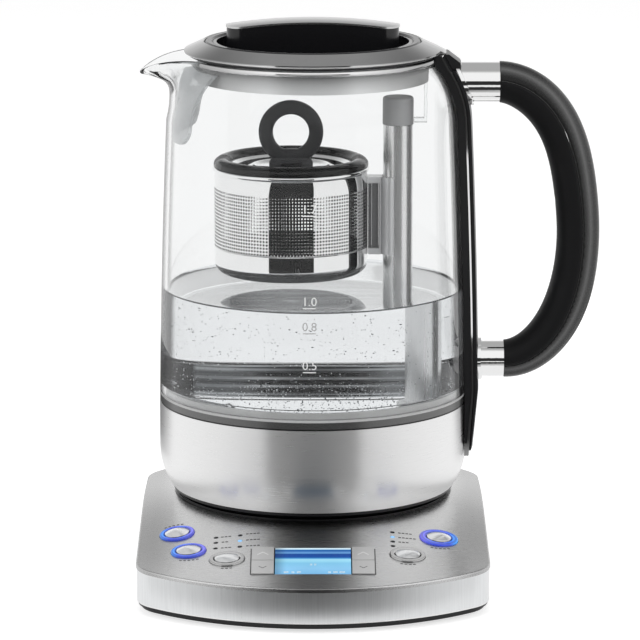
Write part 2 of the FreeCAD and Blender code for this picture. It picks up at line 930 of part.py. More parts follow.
def make_deck():
    """The pressed steel top with its dished shape and its openings."""
    hole = d.seat_radius + d.run_gap
    top = d.deck_inner_height
    sheet_body = revolved("deck_dish", [
        (hole, top - d.deck_thickness),
        (d.deck_flat_radius, top - d.deck_thickness, d.deck_curve_radius, 1),
        (d.deck_outer_radius, d.deck_front_height - d.deck_thickness),
        (d.deck_outer_radius, d.deck_front_height, d.deck_curve_radius, -1),
        (d.deck_flat_radius, top),
        (hole, top),
    ])
    plan = base_prism("deck_plan", 0.0, 0.0, d.deck_inner_height * 2)
    blank = common("deck_blank", sheet_body, plan)
    doc.recompute()
    rounded = doc.addObject("Part::Fillet", "deck_rounded")
    rounded.Base = blank
    rounded.Edges = [(number, d.deck_edge_round.value, d.deck_edge_round.value)
                     for number in rim_edges(blank.Shape)]
    add_node("base_deck", cut("deck_opened", rounded, *deck_holes()))


def rim_edges(shape):
    """Numbers of the edges along the top of the deck's outside."""
    found = []
    for number, edge in enumerate(shape.Edges, start=1):
        middle = edge.valueAt((edge.FirstParameter + edge.LastParameter) / 2)
        radius = math.hypot(middle.x, middle.y)
        on_top = abs(middle.z - deck_height(radius)) < d.deck_edge_round.value / 4
        outside = radius > d.deck_flat_radius.value + d.seat_flange.value
        if on_top and outside and edge.Length > d.deck_thickness.value * 2:
            found.append(number)
    return found


def make_seat():
    """The black seat that the kettle stands on."""
    hole = d.plug_radius + d.fit_gap * 2
    rim_inner = d.seat_radius - d.seat_rim_width
    floor = seat_top - d.seat_recess
    flange = d.seat_radius + d.seat_flange
    add_node("base_seat", revolved("seat", [
        (hole, seat_bottom),
        (flange, seat_bottom),
        (flange, seat_flange_top),
        (d.seat_radius, seat_flange_top),
        (d.seat_radius, seat_top),
        (rim_inner, seat_top),
        (rim_inner - d.seat_recess, floor),
        (hole, floor),
    ]))


def make_base_connector():
    """The round plug that the kettle drops over, with its pin and contact ring."""
    top = seat_top + d.plug_rise
    flange_top = column_top + d.plug_flange_thickness
    bore_floor = top - d.plug_bore_depth
    add_node("base_connector", revolved("plug", [
        (0, column_top),
        (d.plug_flange_radius, column_top),
        (d.plug_flange_radius, flange_top),
        (d.plug_radius, flange_top),
        (d.plug_radius, top),
        (d.plug_bore_radius, top),
        (d.plug_bore_radius, bore_floor),
        (0, bore_floor),
    ]))
    pin = cylinder("contact_pin", d.pin_radius, d.contact_height, z=bore_floor)
    ring_radius = d.plug_bore_radius - d.fit_gap / 2
    ring = cut(
        "contact_ring",
        cylinder("contact_ring_outer", ring_radius, d.contact_height, z=bore_floor),
        cylinder("contact_ring_inner", ring_radius - d.contact_ring_wall,
                 d.contact_height, z=bore_floor),
    )
    add_node("connector_contacts", group("connector_contacts", [pin, ring]))


# ---------------------------------------------------------------- base: electronics and panel


def lamp_places():
    """Where the ten small lamps stand: (across, towards the front)."""
    places = [(x, front) for x in TEA_LAMP_COLUMNS for front in TEA_LAMP_ROWS]
    places += [(STRENGTH_LAMP_COLUMN, front) for front in STRENGTH_LAMP_ROWS]
    return places


def ring_outer(name):
    """Outer radius of the ring round a button."""
    if name == "hot_water_button":
        return d.hot_water_ring_radius
    return d.ring_radius


def make_button(name, x, front):
    """A domed cap with a flange that stays under its ring, and a stem to its switch."""
    frame = deck_frame(x, front)
    cap = d.button_radius
    dome = d.button_dome
    curve = (cap * cap + dome * dome) / (dome * 2)
    drop = drop_to_switch(frame, frame.Base, d.button_stem_radius.value)
    stem_end = -(drop - d.button_travel.value - d.fit_gap.value)
    flange_low = -d.button_depth - d.button_flange_thickness
    body = revolved(name + "_cap", [
        (0, stem_end),
        (d.button_stem_radius, stem_end),
        (d.button_stem_radius, flange_low),
        (d.button_flange_radius, flange_low),
        (d.button_flange_radius, -d.button_depth),
        (cap, -d.button_depth),
        (cap, d.button_proud, curve, 1),
        (0, d.button_proud + dome),
    ])
    body.Placement = frame
    add_node(name, body)


def make_button_ring(name, x, front):
    """The ring round a button, held by a flange under the deck."""
    outer = ring_outer(name)
    flange = outer + d.ring_flange_radius - d.ring_radius
    inner = d.button_radius + d.run_gap
    soft = d.ring_proud / 2
    body = revolved(name + "_ring", [
        (inner, -d.ring_depth),
        (flange, -d.ring_depth),
        (flange, -d.ring_flange_depth),
        (outer, -d.ring_flange_depth),
        (outer, d.ring_proud - soft, soft, 1),
        (outer - soft, d.ring_proud),
        (inner + soft, d.ring_proud),
        (inner, d.ring_proud - soft),
    ])
    body.Placement = deck_frame(x, front)
    return body


def make_buttons():
    """The five round buttons with their rings, and the switches under them."""
    glowing = []
    plain = []
    for name, (x, front) in ROUND_BUTTONS.items():
        make_button(name, x, front)
        ring = make_button_ring(name, x, front)
        (glowing if name in GLOWING_BUTTONS else plain).append(ring)
    add_node("button_light_rings", group("button_light_rings", glowing))
    add_node("button_bezels", group("button_bezels", plain))


def key_outer_edge():
    """Distance from the middle of the panel to the outside of a key."""
    return d.display_width / 2 + d.run_gap + d.key_width


def key_place(side, row):
    """Local middle of a key in the panel's frame."""
    x = side * (d.display_width / 2 + d.run_gap + d.key_width / 2)
    y = row * (d.display_depth / 4 + d.run_gap / 4)
    return x, y


def make_keys():
    """The two pairs of keys beside the display."""
    frame = panel_frame()
    half_width = d.key_width / 2 - d.run_gap / 2
    half_depth = d.display_depth / 4 - d.run_gap / 2
    for name, (side, row) in KEYS.items():
        x, y = key_place(side, row)
        low = d.key_proud - d.key_thickness
        cap = tilted_box(name + "_cap", (x - half_width, y - half_depth, low),
                         (x + half_width, y + half_depth, d.key_proud), frame)
        middle = frame.multVec(Vector(x.value, y.value, 0))
        half = d.key_stem / 2
        drop = drop_to_switch(frame, middle, half.value)
        stem_end = -(drop - d.key_travel.value - d.fit_gap.value)
        stem = tilted_box(name + "_stem", (x - half, y - half, stem_end),
                          (x + half, y + half, low), frame)
        add_node(name, fused(name + "_solid", cap, stem))


def make_display():
    """The display's window in the deck and the module below it."""
    frame = panel_frame()
    half_x = d.display_width / 2
    half_y = d.display_depth / 2
    window = tilted_box("display_pane", (-half_x, -half_y, -d.display_thickness),
                        (half_x, half_y, 0.0), frame)
    add_node("display_window", window)
    top = -d.display_thickness - d.fit_gap
    deep = half_y + d.module_margin
    module = tilted_box("display_panel", (-half_x, -deep, top - d.module_thickness),
                        (half_x, deep, top), frame)
    add_node("display_module", module)


def make_lamps():
    """Ten light pipes with domed ends."""
    lamps = []
    for number, (x, front) in enumerate(lamp_places()):
        body = revolved("lamp_%d" % number, [
            (0, -d.lamp_depth),
            (d.lamp_radius, -d.lamp_depth),
            (d.lamp_radius, 0, (d.lamp_radius * d.lamp_radius + d.lamp_proud * d.lamp_proud)
             / (d.lamp_proud * 2), 1),
            (0, d.lamp_proud),
        ])
        body.Placement = deck_frame(x, front)
        lamps.append(body)
    add_node("panel_lamps", group("panel_lamps", lamps))


def switch_place(frame, x=0.0, y=0.0):
    """Point on the switches' top plane that a stem comes down to."""
    normal = frame.Rotation.multVec(Vector(0, 0, 1))
    start = frame.multVec(Vector(x, y, 0))
    return start - normal * ((start.z - switch_top.value) / normal.z)


def make_switches():
    """Nine small switches on the panel's board, one under each button and key."""
    points = [switch_place(deck_frame(x, front)) for x, front in ROUND_BUTTONS.values()]
    for side, row in KEYS.values():
        x, y = key_place(side, row)
        points.append(switch_place(panel_frame(), x.value, y.value))
    low = d.panel_board_height + d.board_thickness
    half = d.switch_size / 2
    switches = []
    for number, point in enumerate(points):
        switches.append(box("tact_switch_%d" % number,
                            (as_size(point.x) - half, as_size(point.y) - half, low),
                            (as_size(point.x) + half, as_size(point.y) + half, switch_top)))
    add_node("tact_switches", group("tact_switches", switches))


def make_boards():
    """The panel's board with its buzzer, and the power board with relay and transformer."""
    board = box("panel_board",
                (-d.panel_board_half_width, -d.panel_board_front, d.panel_board_height),
                (d.panel_board_half_width, -d.panel_board_back,
                 d.panel_board_height + d.board_thickness))
    buzzer = cylinder("buzzer", d.buzzer_radius, d.buzzer_height, 0.0,
                      -d.panel_board_back - d.buzzer_radius * 2,
                      d.panel_board_height + d.board_thickness)
    add_node("control_board", group("control_board", [board, buzzer]))
    top = d.power_board_height + d.board_thickness
    board = box("supply_board",
                (-d.power_board_half_width, d.power_board_front, d.power_board_height),
                (d.power_board_half_width, d.power_board_back, top))
    start_y = d.power_board_front + d.component_gap
    relay = box("relay", (d.relay_x, start_y, top),
                (d.relay_x + d.relay_width, start_y + d.relay_depth, top + d.relay_height))
    transformer = box("transformer", (d.transformer_x, start_y, top),
                      (d.transformer_x + d.transformer_width, start_y + d.transformer_depth,
                       top + d.transformer_height))
    add_node("power_board", group("power_board", [board, relay, transformer]))


# ---------------------------------------------------------------- kettle: metal part and heater


def shell_edge(inset):
    """Radius of the rounded lower edge of the housing, at its bottom."""
    curve = d.housing_round - inset
    drop = d.housing_tangent - d.housing_bottom
    return d.housing_radius - d.housing_round + root(curve * curve - drop * drop)


def make_housing():
    """The brushed steel ring under the glass, with its large lower radius."""
    inner = d.housing_radius - d.housing_wall
    lip = d.housing_radius - d.housing_lip
    add_node("housing_shell", revolved("housing", [
        (shell_edge(0.0), d.housing_bottom, d.housing_round, 1),
        (d.housing_radius, d.housing_tangent),
        (d.housing_radius, d.housing_top),
        (lip, d.housing_top),
        (lip, d.housing_top - d.housing_wall),
        (inner, d.housing_top - d.housing_wall),
        (inner, d.housing_tangent, d.housing_round - d.housing_wall, -1),
        (shell_edge(d.housing_wall), d.housing_bottom),
    ]))


def make_underside():
    """The kettle's black bottom, with the socket's wall in its middle."""
    edge = shell_edge(0.0) - d.fit_gap * 3
    lip_top = d.housing_bottom - d.run_gap
    inner_edge = shell_edge(d.housing_wall) - d.fit_gap * 4
    floor = kettle_bottom + d.underside_floor
    bore = d.socket_wall_radius - d.socket_wall
    ledge_top = d.socket_ledge_height + d.socket_ledge_thickness
    add_node("jug_underside", revolved("underside", [
        (bore, kettle_bottom),
        (edge - d.underside_bevel * 2, kettle_bottom),
        (edge, kettle_bottom + d.underside_bevel),
        (edge, lip_top),
        (inner_edge, lip_top),
        (inner_edge, lip_top + d.underside_floor),
        (inner_edge - d.underside_bevel, lip_top + d.underside_floor),
        (inner_edge - d.underside_bevel, floor),
        (d.socket_wall_radius, floor),
        (d.socket_wall_radius, d.socket_top),
        (bore, d.socket_top),
        (bore, ledge_top),
        (d.socket_ledge_radius, ledge_top),
        (d.socket_ledge_radius, d.socket_ledge_height),
        (bore, d.socket_ledge_height),
    ]))


def make_jug_connector():
    """The socket that drops over the base's plug, with the control block above it."""
    low = d.socket_ledge_height + d.socket_ledge_thickness + d.run_gap
    high = low + d.socket_flange_thickness
    flange = d.socket_wall_radius - d.socket_wall - d.run_gap
    add_node("jug_connector", revolved("socket", [
        (d.socket_tube_inner, d.socket_tube_bottom),
        (d.socket_tube_outer, d.socket_tube_bottom),
        (d.socket_tube_outer, low),
        (d.socket_skirt_inner, low),
        (d.socket_skirt_inner, d.socket_skirt_bottom),
        (d.socket_skirt_outer, d.socket_skirt_bottom),
        (d.socket_skirt_outer, low),
        (flange, low),
        (flange, high),
        (d.control_radius, high),
        (d.control_radius, high + d.control_height),
        (0, high + d.control_height),
        (0, low),
        (d.socket_tube_inner, low),
    ]))


plate_top = d.housing_top - d.plate_drop
plate_bottom = plate_top - d.plate_thickness


def make_heater():
    """The heater plate, the element under it and the temperature probe on it."""
    disc = cylinder("plate_disc", d.housing_radius - d.housing_lip - d.run_gap,
                    d.plate_thickness, z=plate_bottom)
    hole = cylinder("plate_post_hole", d.tube_radius + d.fit_gap, d.plate_thickness,
                    x=d.post_x, z=plate_bottom)
    add_node("heater_plate", cut("plate", disc, hole))
    ring = doc.addObject("Part::Torus", "element_ring")
    bind(ring, "Radius1", d.element_radius)
    bind(ring, "Radius2", d.element_tube)
    bind(ring, "Angle3", d.element_angle)
    centre_z = plate_bottom - d.fit_gap - d.element_tube
    # the gap in the ring is turned to the side away from the lift post
    opening = (360.0 - d.element_angle.value) / 2
    ring.Placement = Placement(Vector(0, 0, 0), Rotation(Vector(0, 0, 1), 180 + opening))
    place(ring, z=centre_z)
    pins = []
    for number, sign in enumerate((-1, 1)):
        turn = math.radians(180 + sign * opening)
        pins.append(cylinder("element_pin_%d" % number, d.element_tube * 0.7,
                             d.element_pin_length, d.element_radius * math.cos(turn),
                             d.element_radius * math.sin(turn), centre_z - d.element_pin_length))
    add_node("heating_element", fused("element", ring, *pins))
    tip = plate_top + d.fit_gap / 2
    probe = revolved("probe", [
        (0, 0),
        (d.sensor_base_radius, 0),
        (d.sensor_base_radius, d.sensor_radius / 2),
        (d.sensor_radius, d.sensor_radius),
        (d.sensor_radius, d.sensor_height - d.sensor_radius, d.sensor_radius, 1),
        (0, d.sensor_height),
    ])
    place(probe, d.sensor_x, d.sensor_y, tip)
    add_node("temperature_sensor", probe)


def make_plate_seal():
    """The black silicone seal between plate, housing and glass."""
    low = d.housing_top + d.fit_gap / 2
    high = low + d.seal_height
    outer = d.glass_base_radius
    lip_outer = d.glass_base_radius - d.glass_wall - d.run_gap
    add_node("plate_seal", revolved("seal", [
        (outer - d.seal_width, low),
        (outer, low),
        (outer, high),
        (lip_outer, high),
        (lip_outer, high + d.seal_lip_height),
        (lip_outer - d.seal_lip_width, high + d.seal_lip_height),
        (outer - d.seal_width, high),
    ]))


# ---------------------------------------------------------------- kettle: glass, spout, collar


def spout_section(reach, low, half_width, top):
    """A U-shaped section of the spout across the pouring direction, closed at the top."""
    x = -reach
    height = top - low
    half_shape = ((1.0, 1.0), (0.93, 0.45), (0.44, 0.10))
    right = [Vector(x, half_width * across, low + height * up) for across, up in half_shape]
    left = [Vector(x, -point.y, point.z) for point in right]
    corners = left + [Vector(x, 0, low)] + right[::-1]
    curve = Part.BSplineCurve()
    curve.interpolate(corners)
    edges = [curve.toShape(), Part.LineSegment(corners[-1], corners[0]).toShape()]
    return Part.Wire(edges)


def spout_solid(shrink, lift):
    """The spout's outside, or its inside when shrunk by the wall and carried on upwards."""
    wall = shrink.value
    rise = lift.value
    root_reach = d.spout_root_reach.value
    reach_back = root_reach - d.spout_back.value
    reach_neck = root_reach + d.glass_wall.value
    reach_tip = d.spout_reach.value + rise
    reach_mid = (reach_neck + d.spout_reach.value) / 2
    top = d.glass_top.value + rise
    tip_top = d.spout_tip_top.value + rise
    tip_half = d.spout_tip_half_width.value
    mid_half = d.spout_mid_half_width.value
    root_half = d.spout_root_half_width.value
    tip_low = d.spout_tip_bottom.value
    mid_low = d.spout_mid_bottom.value
    root_low = d.spout_root_bottom.value
    sections = [
        spout_section(reach_back, root_low + wall, root_half - wall, top),
        spout_section(reach_neck, root_low + wall * 1.8, root_half * 0.94 - wall, top),
        spout_section(reach_mid, mid_low + wall, mid_half - wall, top - d.spout_rim_fall.value),
        spout_section(reach_tip, tip_low + wall * 0.8, tip_half - wall / 2, tip_top),
    ]
    return Part.makeLoft(sections, True, False)


def make_glass():
    """The glass jug: a curved side, a shoulder, a neck and a drawn pouring lip."""
    wall = d.glass_wall
    neck_inner = d.neck_radius - wall
    inner_turn = shoulder_point(-wall)
    outer_turn = shoulder_point(as_size(0.0))
    jug = revolved("jug_wall", [
        (side_radius(glass_bottom, 0.0), glass_bottom, d.glass_side_curve, 1),
        (outer_turn[0], outer_turn[1], d.shoulder_curve, 1),
        (d.neck_radius, shoulder_height_at(d.neck_radius, 0.0)),
        (d.neck_radius, d.glass_top),
        (neck_inner, d.glass_top),
        (neck_inner, shoulder_height_at(neck_inner, -wall), d.shoulder_curve - wall, -1),
        (inner_turn[0], inner_turn[1], d.glass_side_curve - wall, -1),
        (side_radius(glass_bottom, -wall), glass_bottom),
    ])
    room = revolved("jug_room", [
        (0, glass_bottom),
        (side_radius(glass_bottom, -wall), glass_bottom, d.glass_side_curve - wall, 1),
        (inner_turn[0], inner_turn[1], d.shoulder_curve - wall, 1),
        (neck_inner, shoulder_height_at(neck_inner, -wall)),
        (neck_inner, d.glass_top * 1.1),
        (0, d.glass_top * 1.1),
    ])
    outside = shaped("spout_outside", spout_solid(as_size(0.0), as_size(0.0)))
    inside = shaped("spout_inside", spout_solid(d.spout_wall, d.spout_wall))
    body = fused("jug_with_spout", jug, outside)
    add_node("glass_jug", cut("jug_hollow", body, room, inside))


def make_filter():
    """The slotted filter plate that stands behind the spout."""
    outer = -(d.glass_wall + d.filter_gap)
    inner = outer - d.filter_thickness
    shell = revolved("filter_shell",
                     wall_up(outer, d.filter_bottom, d.filter_top)
                     + wall_down(inner, d.filter_top, d.filter_bottom))
    half = d.filter_half_width
    corner = d.filter_corner
    low = d.filter_bottom
    high = d.filter_top
    window = doc.addObject("PartDesign::Body", "filter_window")
    outline = closed_sketch(window, "YZ_Plane", [
        (half, low + corner),
        (half, high),
        (-half, high),
        (-half, low + corner, corner, 1),
        (corner - half, low),
        (half - corner, low, corner, 1),
    ])
    pad = window.newObject("PartDesign::Pad", "filter_window_pad")
    pad.Profile = outline
    bind(pad, "Length", d.glass_base_radius)
    window.Tip = pad
    place(window, x=-d.glass_base_radius)
    slots = []
    count = int(d.filter_slot_count.value)
    for number in range(count):
        y = (number - (count - 1) / 2) * d.filter_slot_pitch
        half_slot = d.filter_slot_width / 2
        slot_low = d.filter_bottom + d.filter_thickness * 4
        slots.append(box("filter_slot_%d" % number, (-d.glass_base_radius, y - half_slot, slot_low),
                         (0.0, y + half_slot, slot_low + d.filter_slot_height)))
    add_node("spout_filter", cut("filter_slotted", common("filter", shell, window), *slots))


def make_collar():
    """The chrome collar on the neck, with its inner skirt and the bead below the groove."""
    edge_low = d.collar_edge_height - d.neck_seal_height / 2
    skirt_inner = d.skirt_radius - d.skirt_wall
    underside = d.glass_top + d.fit_gap * 2 + d.neck_seal_height
    ledge_low = d.collar_ledge_height - d.collar_thickness
    soft = d.collar_edge / 2
    ring = revolved("collar_ring", [
        (skirt_inner, d.skirt_bottom),
        (d.skirt_radius, d.skirt_bottom),
        (d.skirt_radius, underside),
        (d.collar_radius - d.collar_edge, underside),
        (d.collar_radius, edge_low + soft),
        (d.collar_radius, edge_low + d.collar_edge + soft),
        (d.collar_mouth + soft, d.collar_top),
        (d.collar_mouth, d.collar_top - soft),
        (d.collar_mouth, d.collar_ledge_height),
        (d.collar_ledge_radius, d.collar_ledge_height),
        (d.collar_ledge_radius, ledge_low),
        (skirt_inner, ledge_low),
    ])
    # the lug over the handle's bracket carries the collar's cone on outwards
    cone_low = edge_low + d.collar_edge + soft
    fall = (d.collar_top - cone_low) / (d.collar_radius - d.collar_mouth - soft)
    lug_ring = revolved("lug_ring", [
        (d.skirt_radius, underside),
        (d.lug_reach, underside),
        (d.lug_reach, cone_low - fall * (d.lug_reach - d.collar_radius)),
        (d.collar_mouth + soft, d.collar_top),
    ])
    lug_space = box("lug_space", (0.0, -d.lug_half_width, d.skirt_bottom),
                    (d.spout_reach, d.lug_half_width, d.grasp_top))
    collar = fused("collar_with_lug", ring, common("collar_lug", lug_ring, lug_space))
    bead_high = d.glass_top - d.band_bead_drop
    bead_low = bead_high - d.band_bead_height
    bead_inner = d.neck_radius + d.fit_gap * 1.5
    bead = revolved("neck_bead", [
        (bead_inner, bead_low),
        (d.band_bead_radius, bead_low, d.band_bead_height * 0.6, 1),
        (d.band_bead_radius, bead_high),
        (bead_inner, bead_high),
    ])
    gap_half = d.spout_root_half_width + d.glass_wall + d.run_gap
    spout_space = box("bead_spout_gap", (-d.spout_reach, -gap_half, d.skirt_bottom),
                      (0.0, gap_half, d.collar_top))
    handle_half = d.bracket_half_width + d.run_gap
    handle_space = box("bead_handle_gap", (0.0, -handle_half, d.skirt_bottom),
                       (d.spout_reach, handle_half, d.collar_top))
    halves = cut("bead_open", bead, spout_space, handle_space)
    add_node("neck_collar", group("neck_collar", [collar, halves]))
    seal_low = d.glass_top + d.fit_gap
    seal_outer = d.neck_radius + d.fit_gap
    add_node("neck_seal", revolved("groove_seal", [
        (d.skirt_radius + d.fit_gap, seal_low),
        (seal_outer, seal_low),
        (seal_outer, seal_low + d.neck_seal_height),
        (d.skirt_radius + d.fit_gap, seal_low + d.neck_seal_height),
    ]))


# ---------------------------------------------------------------- kettle lid


def crown(name, low, high):
    """Solid between two depths below the grasp's crowned top, wider than the grasp."""
    half = d.grasp_half_width.value + d.grasp_plate_overhang.value + 4.0
    arch = d.grasp_arch_radius.value
    round_y = d.grasp_crown_radius.value
    top = d.grasp_top.value

    def arc(depth):
        radius = round_y - depth
        drop = radius - math.sqrt(radius ** 2 - half ** 2)
        peak = top - depth
        return Part.Arc(Vector(0, -half, peak - drop), Vector(0, 0, peak),
                        Vector(0, half, peak - drop))

    upper = arc(as_size(low).value)
    if as_size(high).value > d.grasp_plate.value * 4:
        base_z = top - as_size(high).value
        lower_points = [Vector(0, half, base_z), Vector(0, -half, base_z)]
        edges = [upper.toShape()]
        edges.append(Part.LineSegment(upper.EndPoint, lower_points[0]).toShape())
        edges.append(Part.LineSegment(lower_points[0], lower_points[1]).toShape())
        edges.append(Part.LineSegment(lower_points[1], upper.StartPoint).toShape())
    else:
        lower = arc(as_size(high).value)
        edges = [upper.toShape(), Part.LineSegment(upper.EndPoint, lower.EndPoint).toShape(),
                 lower.toShape(), Part.LineSegment(lower.StartPoint, upper.StartPoint).toShape()]
    face = Part.Face(Part.Wire(Part.__sortEdges__(edges)))
    spread = math.degrees((d.grasp_half_length.value + 8.0) / arch)
    axis_point = Vector(0, 0, top - arch)
    start = face.rotate(axis_point, Vector(0, 1, 0), -spread)
    return shaped(name, start.revolve(axis_point, Vector(0, 1, 0), 2 * spread))


def grasp_plan(name, grow, low, height):
    """Upright prism with the plan of the lid's grasp: a bar with rounded corners."""
    half_x = d.grasp_half_length + grow
    half_y = d.grasp_half_width + grow
    corner = d.grasp_corner + grow
    return padded(name, [
        (half_x, corner - half_y),
        (half_x, half_y - corner, corner, 1),
        (half_x - corner, half_y),
        (corner - half_x, half_y, corner, 1),
        (-half_x, half_y - corner),
        (-half_x, corner - half_y, corner, 1),
        (corner - half_x, -half_y),
        (half_x - corner, -half_y, corner, 1),
    ], low, height)


def make_lid():
    """The lid: rim, recessed bowl, steel underside and the grasp with its steel top."""
    rim_outer = d.collar_mouth - d.run_gap
    rim_inner = rim_outer - d.lid_rim_width
    rim_low = d.collar_ledge_height + d.fit_gap
    soft = d.lid_rim_width / 5
    add_node("lid_rim", revolved("rim", [
        (rim_inner, rim_low),
        (rim_outer, rim_low),
        (rim_outer, d.lid_rim_top - soft),
        (rim_outer - soft, d.lid_rim_top),
        (rim_inner + soft, d.lid_rim_top),
        (rim_inner, d.lid_rim_top - soft),
    ]))
    bowl_outer = rim_inner - d.fit_gap
    bowl_inner = bowl_outer - d.lid_bowl_wall
    bowl_low = d.lid_bowl_floor
    chamfer = d.lid_bowl_chamfer
    bowl_floor = bowl_low + d.lid_bowl_wall
    bowl_top = d.lid_rim_top - soft
    add_node("lid_bowl", revolved("bowl", [
        (0, bowl_low),
        (bowl_outer - chamfer, bowl_low),
        (bowl_outer, bowl_low + chamfer),
        (bowl_outer, bowl_top),
        (bowl_inner, bowl_top),
        (bowl_inner, bowl_floor + chamfer / 2),
        (bowl_inner - chamfer / 2, bowl_floor),
        (0, bowl_floor),
    ]))
    skirt_outer = d.collar_ledge_radius - d.run_gap
    skirt_inner = skirt_outer - d.lid_skirt_wall
    skirt_low = d.lid_skirt_bottom
    add_node("lid_skirt", revolved("lid_under", [
        (0, skirt_low),
        (skirt_outer - chamfer, skirt_low),
        (skirt_outer, skirt_low + chamfer),
        (skirt_outer, rim_low - d.fit_gap),
        (skirt_inner, rim_low - d.fit_gap),
        (skirt_inner, skirt_low + d.lid_skirt_wall + chamfer / 2),
        (skirt_inner - chamfer, skirt_low + d.lid_skirt_wall),
        (0, skirt_low + d.lid_skirt_wall),
    ]))
    bar_low = bowl_floor
    bar_depth = d.grasp_plate + d.fit_gap / 2
    bar_height = d.grasp_top - bar_low
    bar_plan = grasp_plan("grasp_bar_plan", as_size(0.0), bar_low, bar_height)
    under_plate = crown("grasp_under_plate", bar_depth, bar_height + 4.0)
    add_node("lid_handle_bar", common("grasp_bar", bar_plan, under_plate))
    plate_plan = grasp_plan("grasp_plate_plan", d.grasp_plate_overhang, bar_low, bar_height * 2)
    plate_layer = crown("grasp_plate_layer", 0.0, d.grasp_plate)
    add_node("lid_handle_plate", common("grasp_plate", plate_plan, plate_layer))


# ---------------------------------------------------------------- kettle handle


bracket_in = d.run_gap
bracket_out = bracket_in + d.bracket_thickness
trim_in = bracket_out + d.fit_gap / 2
trim_out = trim_in + d.trim_thickness
cover_in = trim_out + d.fit_gap / 2
cover_out = cover_in + d.cover_thickness
foot_in = d.housing_radius + d.run_gap


def strip(name, corners, half_width):
    """The part of a turned outline that lies within a strip at the handle's side."""
    ring = revolved(name + "_ring", corners)
    slab = box(name + "_slab", (d.neck_radius / 2, -half_width, d.foot_height),
               (d.glass_base_radius * 2, half_width, d.grasp_top))
    return common(name + "_strip", ring, slab)


def make_bracket():
    """Three layers down the side: black carrier, chrome edge plate, black cover."""
    low = glass_bottom
    step = d.bracket_shoulder
    top = d.bracket_top
    top_out = d.bracket_top_radius
    clear = d.neck_radius + d.run_gap
    foot_low = d.bracket_foot_height
    foot_out = foot_in + d.bracket_foot_thickness
    carrier = [(foot_in, foot_low), (foot_out, foot_low)]
    carrier += wall_up(bracket_out, low, step)
    carrier += [(top_out, top), (clear, top)]
    carrier += wall_down(bracket_in, shoulder_height_at(clear, bracket_in), low)
    carrier += [(foot_in, low)]
    add_node("handle_bracket", strip("bracket", carrier, d.bracket_half_width))

    plate_foot = foot_out + d.fit_gap / 2
    trim = [(foot_in, d.trim_foot_height), (plate_foot + d.trim_thickness, d.trim_foot_height)]
    trim += wall_up(trim_out, low, step)
    trim += [(top_out + trim_out - bracket_out, top), (top_out + trim_in - bracket_out, top)]
    trim += wall_down(trim_in, step, low)
    trim += [(plate_foot, foot_low - d.fit_gap), (foot_in, foot_low - d.fit_gap)]
    add_node("bracket_trim", strip("trim", trim, d.bracket_half_width + d.trim_overhang))

    cover_foot = plate_foot + d.trim_thickness + d.fit_gap
    cover_step = d.block_bottom + d.cover_thickness
    foot_top = d.housing_tangent
    cover = [(cover_foot, d.cover_foot_height), (cover_foot + d.fit_gap * 2, d.cover_foot_height),
             (cover_foot + d.fit_gap * 4, foot_top)]
    cover += wall_up(cover_out, low, cover_step)
    cover += wall_down(cover_in, cover_step, low)
    cover += [(cover_foot + d.fit_gap, foot_top)]
    spine = strip("cover", cover, d.cover_half_width)
    block = strip("cover_block", block_outline(as_size(0.0)), d.block_half_width)
    add_node("bracket_cover", fused("cover_with_block", spine, block))


def block_outline(grow):
    """The thick upper end of the cover, between the collar's lug and the upper ferrule."""
    step = d.bracket_shoulder
    top = d.bracket_top
    low = d.block_bottom - grow
    near = d.bracket_top_radius + cover_in - bracket_out
    return [
        (shoulder_radius_at(low, cover_in), low),
        (d.block_reach + grow, low + d.cover_thickness),
        (d.block_reach + grow, d.block_shoulder + grow),
        (d.bracket_top_radius + d.block_lead + grow, top),
        (near, top),
        (shoulder_radius_at(step, cover_in), step, d.shoulder_curve + cover_in, -1),
    ]


def inner_space(name, offset):
    """Everything inside the glass's outside moved out by an offset."""
    high = d.bracket_top
    step = d.bracket_shoulder
    corners = [(0, d.housing_tangent), (side_radius(glass_bottom, offset), d.housing_tangent)]
    corners += wall_up(offset, glass_bottom, step)
    corners += [(shoulder_radius_at(step, offset), high), (0, high)]
    return revolved(name, corners)


def oval_bar(name, half_height, height, low, high):
    """A bar of oval section along X at a height."""
    tall = as_size(half_height).value
    wide = tall + d.ferrule_extra_width.value
    start = as_size(low).value
    centre = Vector(start, 0, as_size(height).value)
    ellipse = Part.Ellipse(centre + Vector(0, wide, 0), centre + Vector(0, 0, tall), centre)
    face = Part.Face(Part.Wire(ellipse.toShape()))
    return shaped(name, face.extrude(Vector(as_size(high).value - start, 0, 0)))


def make_ferrule(name, half_height, height, end, *blocks):
    """A chrome ferrule with a flange that follows the cover."""
    start = d.neck_radius
    bar = oval_bar(name + "_bar", half_height, height, start, end)
    wide = oval_bar(name + "_flange_bar", half_height + d.ferrule_flange, height, start, end)
    seat = cover_out + d.fit_gap / 2
    near = inner_space(name + "_flange_space", seat + d.ferrule_flange_thickness)
    body = fused(name + "_solid", bar, common(name + "_flange", wide, near))
    tools = [inner_space(name + "_space", seat)] + list(blocks)
    add_node(name, cut(name + "_seated", body, *tools))


def grip_points():
    """The grip's centre line and half thickness, as plain numbers."""
    reach = d.grip_reach.value
    points = []
    for out, height, half in GRIP_STATIONS:
        points.append((Vector(reach + out, 0, height), half))
    first = Vector(d.upper_ferrule_end.value + d.fit_gap.value, 0, d.upper_ferrule_height.value)
    last = Vector(d.lower_ferrule_end.value + d.fit_gap.value, 0, d.lower_ferrule_height.value)
    points[0] = (first, d.upper_ferrule_half.value + d.fit_gap.value * 2)
    points[-1] = (last, d.lower_ferrule_half.value + d.fit_gap.value * 2)
    return points


